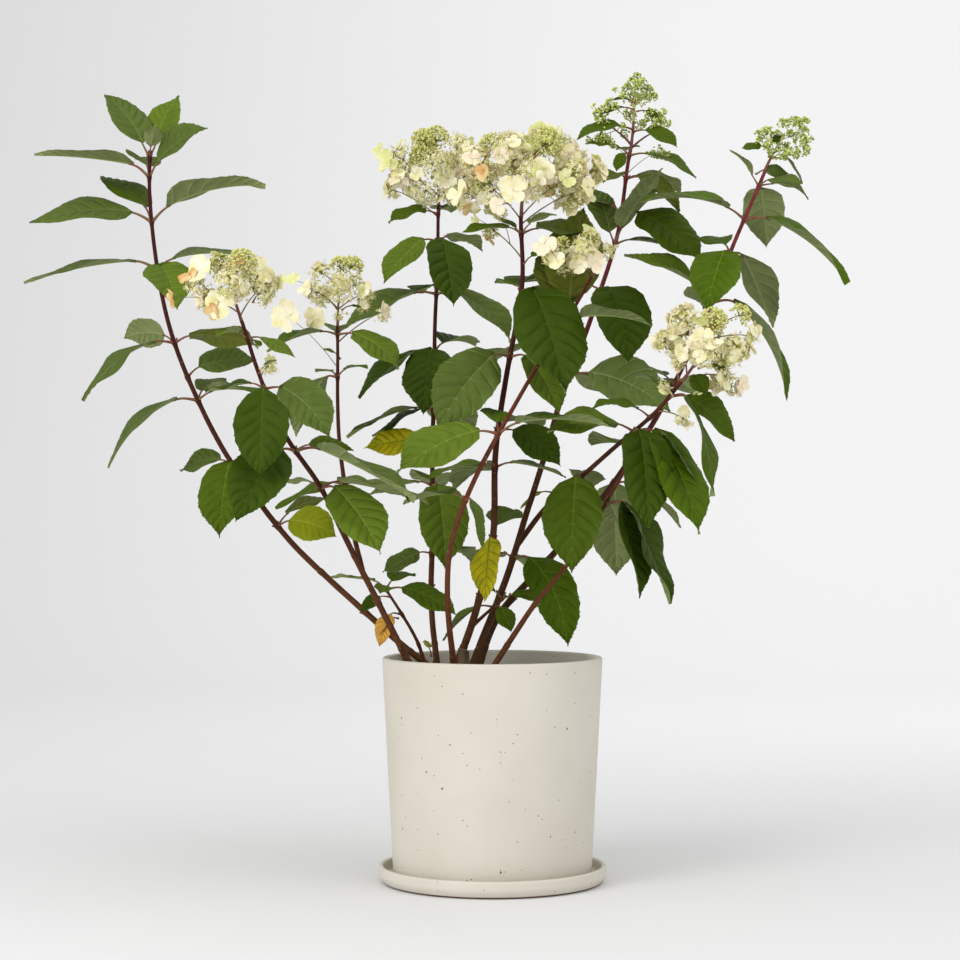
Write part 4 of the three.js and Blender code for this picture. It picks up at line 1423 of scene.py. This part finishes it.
def stamen_tuft(count=4, length=2.1):
    """Thin threads that lean outwards, each with a blunt tip."""
    points, faces = [], []
    for thread in range(count):
        angle = 2 * math.pi * thread / count + 0.3 * (thread % 2)
        lean = 0.35 + 0.3 * (thread % 3) / 2
        way = np.array([math.cos(angle) * lean, math.sin(angle) * lean, 1.0])
        way = way / np.linalg.norm(way) * length * (0.8 + 0.1 * (thread % 4))
        start = len(points)
        for level, width in ((0, 0.07), (0.84, 0.06), (1.0, 0.17)):
            for side in range(3):
                around = 2 * math.pi * side / 3
                points.append(tuple(way * level + width * np.array(
                    [math.cos(around), math.sin(around), 0])))
        for ring in range(2):
            for side in range(3):
                after = (side + 1) % 3
                low, high = start + 3 * ring, start + 3 * ring + 3
                faces.append((low + side, low + after, high + after, high + side))
        faces.append((start + 2, start + 1, start))
        faces.append((start + 6, start + 7, start + 8))
    return little_shape("stamen_tuft", points, faces, smooth=False)


SMALL_FLORET, STAMEN_TUFT = small_floret(), stamen_tuft()
FLOWER_BUD = pebble("flower_bud", 2, 6)
print("faces of a floret, a tuft and a bud:",
      *(len(item.data.polygons) for item in (SMALL_FLORET, STAMEN_TUFT, FLOWER_BUD)))


# %% Showy florets
def grow_sepal(skin, centre, outward, side, reach, width, cup, ruffle, tone):
    """One sepal as a thin closed skin: narrow at its foot, broad and rounded beyond."""
    along = np.array([0.04, 0.3, 0.62, 0.88, 1.0])[:, None]
    across = np.array([-1, -0.55, 0, 0.55, 1.0])[None]
    girth = width * np.array([0.14, 0.70, 1.0, 0.74, 0.22])[:, None]
    forward = unit(side)
    beside = np.cross(outward, forward)
    lift = cup * reach * along ** 2 + ruffle * width * across ** 2 * along
    lift = lift + 0.06 * reach * np.sin(6 * along + 3 * across + ruffle * 9)
    tip = reach * (along - 0.05 * across ** 2 * (along > 0.9))
    rows = []
    for thin in (0.16, -0.16):
        height = lift + thin * (1 - across ** 2) * (1 - along ** 4)
        rows.append(centre + tip[..., None] * forward
                    + (girth * across)[..., None] * beside + height[..., None] * outward)
    faces = grid_faces(5, 5)
    skin.add(rows[0], faces[:, ::-1], tone)
    skin.add(rows[1], faces, tone)


def grow_showy(skin, centre, facing, radius, tone, seed):
    """Four broad sepals in two pairs, the outer pair a little below the inner."""
    facing = unit(facing)
    start = unit(np.cross(facing, (0.3, 0.2, 1)))
    beside = np.cross(facing, start)
    phase = chance(seed, 41) * math.pi
    for sepal in range(4):
        angle = phase + sepal * math.pi / 2 + 0.25 * spread(seed, 42 + sepal)
        side = math.cos(angle) * start + math.sin(angle) * beside
        reach = radius * (0.92 + 0.16 * spread(seed, 50 + sepal))
        layer = 0.5 if sepal % 2 else -0.1
        grow_sepal(skin, centre + facing * layer, facing, side, reach,
                   reach * (0.56 + 0.10 * spread(seed, 60 + sepal)),
                   0.12 + 0.34 * spread(seed, 70 + sepal), 0.30 * spread(seed, 80 + sepal),
                   tone)


trial = Skin()
grow_showy(trial, np.zeros(3), (0, 0, 1), 12, 0, 1)
print("faces of a showy floret:", sum(map(len, trial.faces)))

# %% [markdown]
# Each head lists its tufts and showy florets as place and radius in millimetres. Tufts
# of kind 0 are open florets and of kind 1 are buds. The florets' own facing leans away
# from the head's middle and up, as the stalk that carries them does.

# %% Tufts and showy florets of each head
TUFTS = {
    "left": [[-249, -150, 619, 13, 0], [-231, -150, 610, 12, 0], [-246, -158, 602, 12, 0],
             [-220, -140, 610, 9, 0], [-263, -135, 622, 10, 0], [-221, -134, 529, 9, 0]],
    "left_fork": [[-162, 60, 643, 13, 1], [-185, 50, 616, 13, 0], [-161, 40, 616, 14, 0],
                  [-139, 60, 615, 12, 0], [-119, 55, 595, 10, 0], [-162, 60, 594, 7, 0]],
    "back": [[-63, 190, 798, 17, 1], [-75, 185, 776, 19, 1], [-50, 180, 769, 17, 0],
             [-98, 180, 762, 15, 0], [-74, 180, 742, 17, 0], [-53, 185, 747, 16, 0],
             [-109, 190, 743, 10, 0]],
    "center": [[54, -10, 760, 21, 0], [23, -25, 746, 20, 0], [-5, -20, 721, 19, 0],
               [72, -20, 734, 20, 0], [101, -10, 736, 16, 0], [-23, -10, 707, 15, 0],
               [38, -35, 719, 18, 0], [8, -15, 701, 13, 0], [86, -5, 718, 15, 0],
               [-1, 0, 678, 10, 0], [71, 30, 764, 19, 0], [29, 40, 766, 18, 0],
               [-3, 40, 745, 15, 0]],
    "front": [[71, -50, 648, 11, 0], [85, -44, 643, 10, 0], [60, -40, 646, 9, 0],
              [95, -40, 646, 8, 0]],
    "tall": [[162, 190, 870, 5, 1], [157, 190, 864, 6, 1], [168, 188, 863, 6, 1],
             [152, 192, 856, 7, 1], [163, 186, 855, 8, 1], [174, 190, 855, 7, 1],
             [149, 190, 847, 7, 1], [160, 196, 846, 8, 1], [171, 192, 846, 8, 1],
             [180, 190, 847, 6, 1], [138, 192, 856, 3, 1], [133, 188, 838, 8, 1],
             [126, 190, 831, 8, 1], [140, 186, 834, 7, 1], [114, 192, 838, 3, 1],
             [120, 186, 822, 5, 1], [128, 190, 822, 6, 1], [118, 192, 830, 5, 1],
             [175, 188, 829, 7, 1], [183, 192, 826, 8, 1], [179, 186, 819, 7, 1],
             [188, 190, 820, 7, 1], [192, 194, 832, 4, 1], [196, 192, 819, 5, 1],
             [171, 186, 823, 5, 1], [127, 180, 804, 8, 1], [122, 178, 799, 8, 1],
             [133, 184, 799, 7, 1], [109, 184, 799, 4, 1], [136, 178, 792, 4, 1],
             [184, 182, 785, 8, 1], [192, 184, 783, 7, 1], [177, 180, 786, 5, 1],
             [147, 186, 816, 4, 1], [164, 214, 846, 8, 1], [156, 216, 832, 8, 1],
             [168, 218, 822, 7, 1], [160, 168, 858, 6, 1], [150, 218, 812, 6, 1]],
    "right": [[299, 110, 793, 9, 1], [292, 112, 786, 6, 1], [328, 106, 802, 10, 1],
              [317, 108, 803, 8, 1], [338, 104, 806, 6, 1], [336, 108, 795, 8, 1],
              [335, 106, 785, 8, 1], [337, 104, 776, 8, 1], [328, 108, 773, 7, 1],
              [302, 108, 780, 8, 1], [314, 106, 771, 8, 1], [306, 116, 773, 6, 1],
              [322, 104, 774, 5, 1], [310, 122, 792, 8, 1], [326, 122, 792, 8, 1],
              [318, 128, 780, 8, 1], [288, 112, 795, 3, 1], [346, 108, 788, 3, 1]],
    "tall_fork": [[247, -90, 581, 12, 1], [219, -90, 568, 13, 0], [196, -90, 561, 13, 0],
                  [174, -88, 555, 12, 0], [234, -92, 549, 12, 0], [207, -95, 544, 12, 0],
                  [258, -75, 562, 10, 0], [209, -85, 516, 9, 0], [177, -80, 514, 8, 0],
                  [241, -80, 511, 10, 0], [192, -85, 478, 8, 0], [188, -90, 536, 9, 0]],
}
CREAM, GREEN, TAN, PINK = range(4)
SHOWY = {
    "left": [[-284, -160, 620, 16, CREAM], [-266, -165, 589, 16, CREAM],
             [-225, -150, 621, 14, CREAM], [-247, -165, 627, 8, TAN],
             [-269, -130, 637, 11, GREEN], [-316, -130, 595, 10, TAN],
             [-272, -162, 580, 9, TAN]],
    "left_fork": [[-215, 20, 588, 21, CREAM], [-189, 40, 588, 15, CREAM],
                  [-212, 55, 631, 10, GREEN], [-197, 40, 621, 10, CREAM],
                  [-138, 50, 616, 8, GREEN]],
    "back": [[-117, 180, 774, 15, GREEN], [-107, 170, 755, 12, CREAM],
             [-104, 195, 796, 8, GREEN], [-85, 160, 757, 10, CREAM],
             [-35, 190, 798, 8, GREEN], [-50, 160, 752, 11, CREAM],
             [-127, 200, 789, 10, GREEN]],
    "center": [[-35, -40, 709, 15, CREAM], [-9, -50, 730, 10, TAN],
               [-17, -20, 749, 11, CREAM], [22, -62, 710, 18, CREAM],
               [48, -60, 731, 18, CREAM], [40, -40, 758, 12, GREEN],
               [59, -10, 780, 10, GREEN], [11, -30, 761, 11, GREEN],
               [81, -30, 750, 13, CREAM], [111, -20, 737, 14, CREAM],
               [72, 0, 772, 11, GREEN], [75, -50, 724, 13, GREEN],
               [98, -40, 717, 12, CREAM], [5, -45, 697, 11, PINK],
               [-17, -10, 687, 8, GREEN]],
    "front": [[52, -70, 654, 13, PINK], [66, -72, 638, 11, CREAM],
              [89, -60, 635, 12, CREAM], [105, -58, 639, 12, PINK],
              [91, -65, 653, 8, GREEN]],
    "tall_fork": [[190, -85, 584, 8, CREAM], [224, -90, 586, 7, PINK],
                  [208, -105, 573, 10, GREEN], [200, -115, 553, 9, PINK],
                  [212, -110, 560, 8, CREAM], [188, -110, 544, 11, CREAM],
                  [228, -105, 548, 9, CREAM], [182, -95, 562, 9, CREAM],
                  [242, -95, 551, 8, PINK], [257, -85, 559, 8, GREEN]],
}
print("tufts:", sum(map(len, TUFTS.values())), "showy:", sum(map(len, SHOWY.values())))

# %% Growing the heads
GOLDEN = math.radians(137.508)


def cluster_tufts(name, head, middle, up):
    """The tufts that stand where the solid has its clusters, with their radii."""
    beside = unit(np.cross((0, 1, 0), up))
    ahead = np.cross(up, beside)
    girth, tallness = head["width"] * 0.36, head["height"] * 0.4
    tufts = []
    for number in range(head["clusters"]):
        level = -0.55 + 1.5 * (number + 0.5) / head["clusters"]
        reach = math.sqrt(1 - level ** 2) * girth
        outward = (beside * math.cos(number * GOLDEN) * reach
                   + ahead * math.sin(number * GOLDEN) * reach + up * level * tallness)
        radius = min(head["width"] * 0.19, 19) * (
            1 + 0.15 * spread(len(name) * 7 + number, 5))
        tufts.append((middle + outward * 0.92, radius * 0.86, level > 0.6))
    return tufts


# How many buds, open florets and young buds a tuft has, to its squared radius.
IN_BUD, OPEN, YOUNG = 0.72, 0.36, 0.16


def tuft_points(centre, radius, outward, count):
    """Places over the outer side of a tuft, and the ways that they face."""
    ways = unit(unit(draw.normal(size=(count, 3))) + outward * 0.75)
    depth = 0.62 + 0.42 * draw.uniform(0, 1, count) ** 0.7
    return centre + ways * (radius * depth)[:, None], ways


def branch(skin, foot, end, width, up, tone):
    """A stalk that rises from its foot and then spreads to its end."""
    bow = np.linspace(0, 1, 6)[:, None]
    knee = foot + (end - foot) * 0.5 + up * 0.12 * np.linalg.norm(end - foot)
    path = (1 - bow) ** 2 * foot + 2 * bow * (1 - bow) * knee + bow ** 2 * end
    skin.add(*tube(path, width * (1 - 0.5 * bow[:, 0]), 5, (0.2, 1, 0.1)), tone)
    return path


def grow_stalks(skin, limbs, ends, width, up, tone=0):
    """A stalk to every end, each from the limb that lies best below it."""
    for end in ends:
        step = end - limbs
        rise = step @ up
        away = np.linalg.norm(step - rise[:, None] * up, axis=1)
        # A good foot is near, and lies lower by most of its distance to the side.
        cost = np.linalg.norm(step, axis=1) + 1.2 * np.abs(rise - 0.8 * away)
        path = branch(skin, limbs[np.argmin(cost)], end, width, up, tone)
        limbs = np.concatenate([limbs, path[1:5]])
    return limbs


def grow_spine(skin, shoot, middle, up):
    """The head's own stem, from the shoot's tip to above the head's middle."""
    tip = shoot["axis"].spots[-1]
    forward = shoot["axis"].forward(shoot["axis"].length)
    top = middle + up * shoot["head"]["height"] * 0.32
    share = np.linspace(0, 1, 16)[:, None]
    spine = ((1 - share) ** 2 * (tip - forward * 2)
             + 2 * share * (1 - share) * (tip + forward * 0.3 * shoot["head"]["height"])
             + share ** 2 * top)
    points, faces = tube(spine, shoot["thick"][1] / 2 * (1 - 0.62 * share[:, 0]), 8,
                         (0, 1, 0))
    skin.add(points, faces, np.where(np.arange(len(faces)) // 8 > 8, 1, 2))
    return spine


def grow_tuft(centre, radius, in_bud, green_head, outward):
    """The small florets or buds of one tuft, with the thinnest stalks under them."""
    if green_head or in_bud:
        places, ways = tuft_points(centre, radius, outward, int(12 + radius ** 2 * IN_BUD))
        (buds_green if green_head else buds_cream).append((places, ways))
    else:
        places, ways = tuft_points(centre, radius, outward, int(radius ** 2 * OPEN))
        florets.append((places, ways))
        more, aims = tuft_points(centre, radius * 0.85, outward, int(radius ** 2 * YOUNG))
        buds_cream.append((more, aims))
    for place in places[::4]:
        path = centre + (place - centre) * np.array([[0], [0.96]])
        pedicels.add(*tube(path, [0.3, 0.2], 3, (0.3, 1, 0.2)), 1)


def ring_showy(centre, radius, outward, share, seed):
    """Showy florets that stand out of an open tuft on all its outer sides."""
    count = round(share * radius / 4.6)
    ways = unit(unit(draw.normal(size=(count, 3))) + outward * 0.8)
    for number, way in enumerate(ways):
        place = centre + way * radius * draw.uniform(0.85, 1.1)
        facing = way + draw.normal(0, 0.5, 3)
        tone = int(draw.choice(4, p=SHOWY_TONES))
        grow_showy(showy, place, facing, draw.uniform(7, 12), tone, seed + number)


SHOWY_TONES = (0.54, 0.2, 0.07, 0.19)  # the shares of cream, green, tan and pink ones
# Some heads have fewer showy florets round their tufts, and two have main stalks.
RING_SHARE = {"left_fork": 0.25, "left": 0.55, "front": 0.5, "back": 0.8}
MAIN_STALKS = {"tall": [[135, 188, 812], [181, 190, 808]], "right": [[310, 110, 775]]}
florets, buds_cream, buds_green, showy = [], [], [], Skin()
pedicels = Skin()
for name, shoot in SHOOTS.items():
    if "head" not in shoot:
        continue
    green_head = name not in SHOWY
    up = direction(*shoot["head"]["lean"])
    middle = shoot["axis"].spots[-1] + up * shoot["head"]["height"] * 0.5
    tufts = [(np.array(row[:3], float), row[3], row[4] == 1) for row in TUFTS[name]]
    if not green_head:
        tufts += cluster_tufts(name, shoot["head"], middle, up)
    tufts.sort(key=lambda tuft: -tuft[1])
    spine = grow_spine(pedicels, shoot, middle, up)
    axis = shoot["axis"]
    limbs = np.concatenate([axis.at(np.linspace(axis.length - 60, axis.length, 16)),
                            spine[:12]])
    mains = [np.array(end, float) for end in MAIN_STALKS.get(name, [])]
    limbs = grow_stalks(pedicels, limbs, mains, 1.5, up, 2)
    limbs = grow_stalks(pedicels, limbs, [centre for centre, _, _ in tufts],
                        0.6 if green_head else 0.9, up, 1 if green_head else 0)
    for number, (centre, radius, in_bud) in enumerate(tufts):
        outward = unit(centre - middle + up * 6)
        grow_tuft(centre, radius, in_bud, green_head, outward)
        if not in_bud:
            ring_showy(centre, radius, outward, RING_SHARE.get(name, 1),
                       900 + 40 * len(name) + 5 * number)
    ends = []
    for number, row in enumerate(SHOWY.get(name, [])):
        centre = np.array(row[:3], float)
        facing = unit(centre - middle) + up * 0.3 + np.array([0, -0.6, 0.1])
        facing = facing + draw.normal(0, 0.3, 3)
        grow_showy(showy, centre, facing, row[3], row[4], 100 * len(name) + number)
        ends.append(centre - unit(facing) * 1.2)
    grow_stalks(pedicels, limbs, ends, 0.5, up)

blossom_nodes = ["panicle_" + name for name in SHOWY]
bud_nodes = ["panicle_" + name for name in MAIN_STALKS]
PEDICELS = [finish("flower_stalks", paint(122, 84, 60), 0.6, paint(140, 132, 74), 60),
            finish("thin_stalks", paint(188, 188, 106), 0.6, paint(142, 150, 64), 90),
            finish("wine_stalks", paint(104, 44, 48), 0.55, paint(120, 76, 52), 40)]
dress(showy.build("showy_florets", SEPALS, weld=True, crease=60), blossom_nodes)
dress(pedicels.build("flower_stalks", PEDICELS, crease=0),
      blossom_nodes + bud_nodes)


# %% Planting the small florets and the buds
def plant_flowers(name, little, material, groups, sizes, nodes):
    places = np.concatenate([places for places, _ in groups])
    ways = np.concatenate([ways for _, ways in groups])
    count = len(places)
    aims = ways + draw.normal(0, 0.22, ways.shape)
    piece = plant_copies(name, little, material, places, aims,
                         draw.uniform(*SPIN, count), draw.uniform(*sizes, count))
    print(name, "copies:", count)
    dress(piece, nodes)


plant_flowers("small_florets", SMALL_FLORET, PETAL, florets, (1.9, 2.8),
              blossom_nodes)
plant_flowers("stamens", STAMEN_TUFT, STAMEN,
              [(places[::2], ways[::2]) for places, ways in florets], (1.5, 2.2),
              blossom_nodes)
plant_flowers("cream_buds", FLOWER_BUD, BUD_CREAM, buds_cream, (1.0, 1.5),
              blossom_nodes)
plant_flowers("green_buds", FLOWER_BUD, BUD_GREEN, buds_green, (0.95, 1.45),
              bud_nodes)
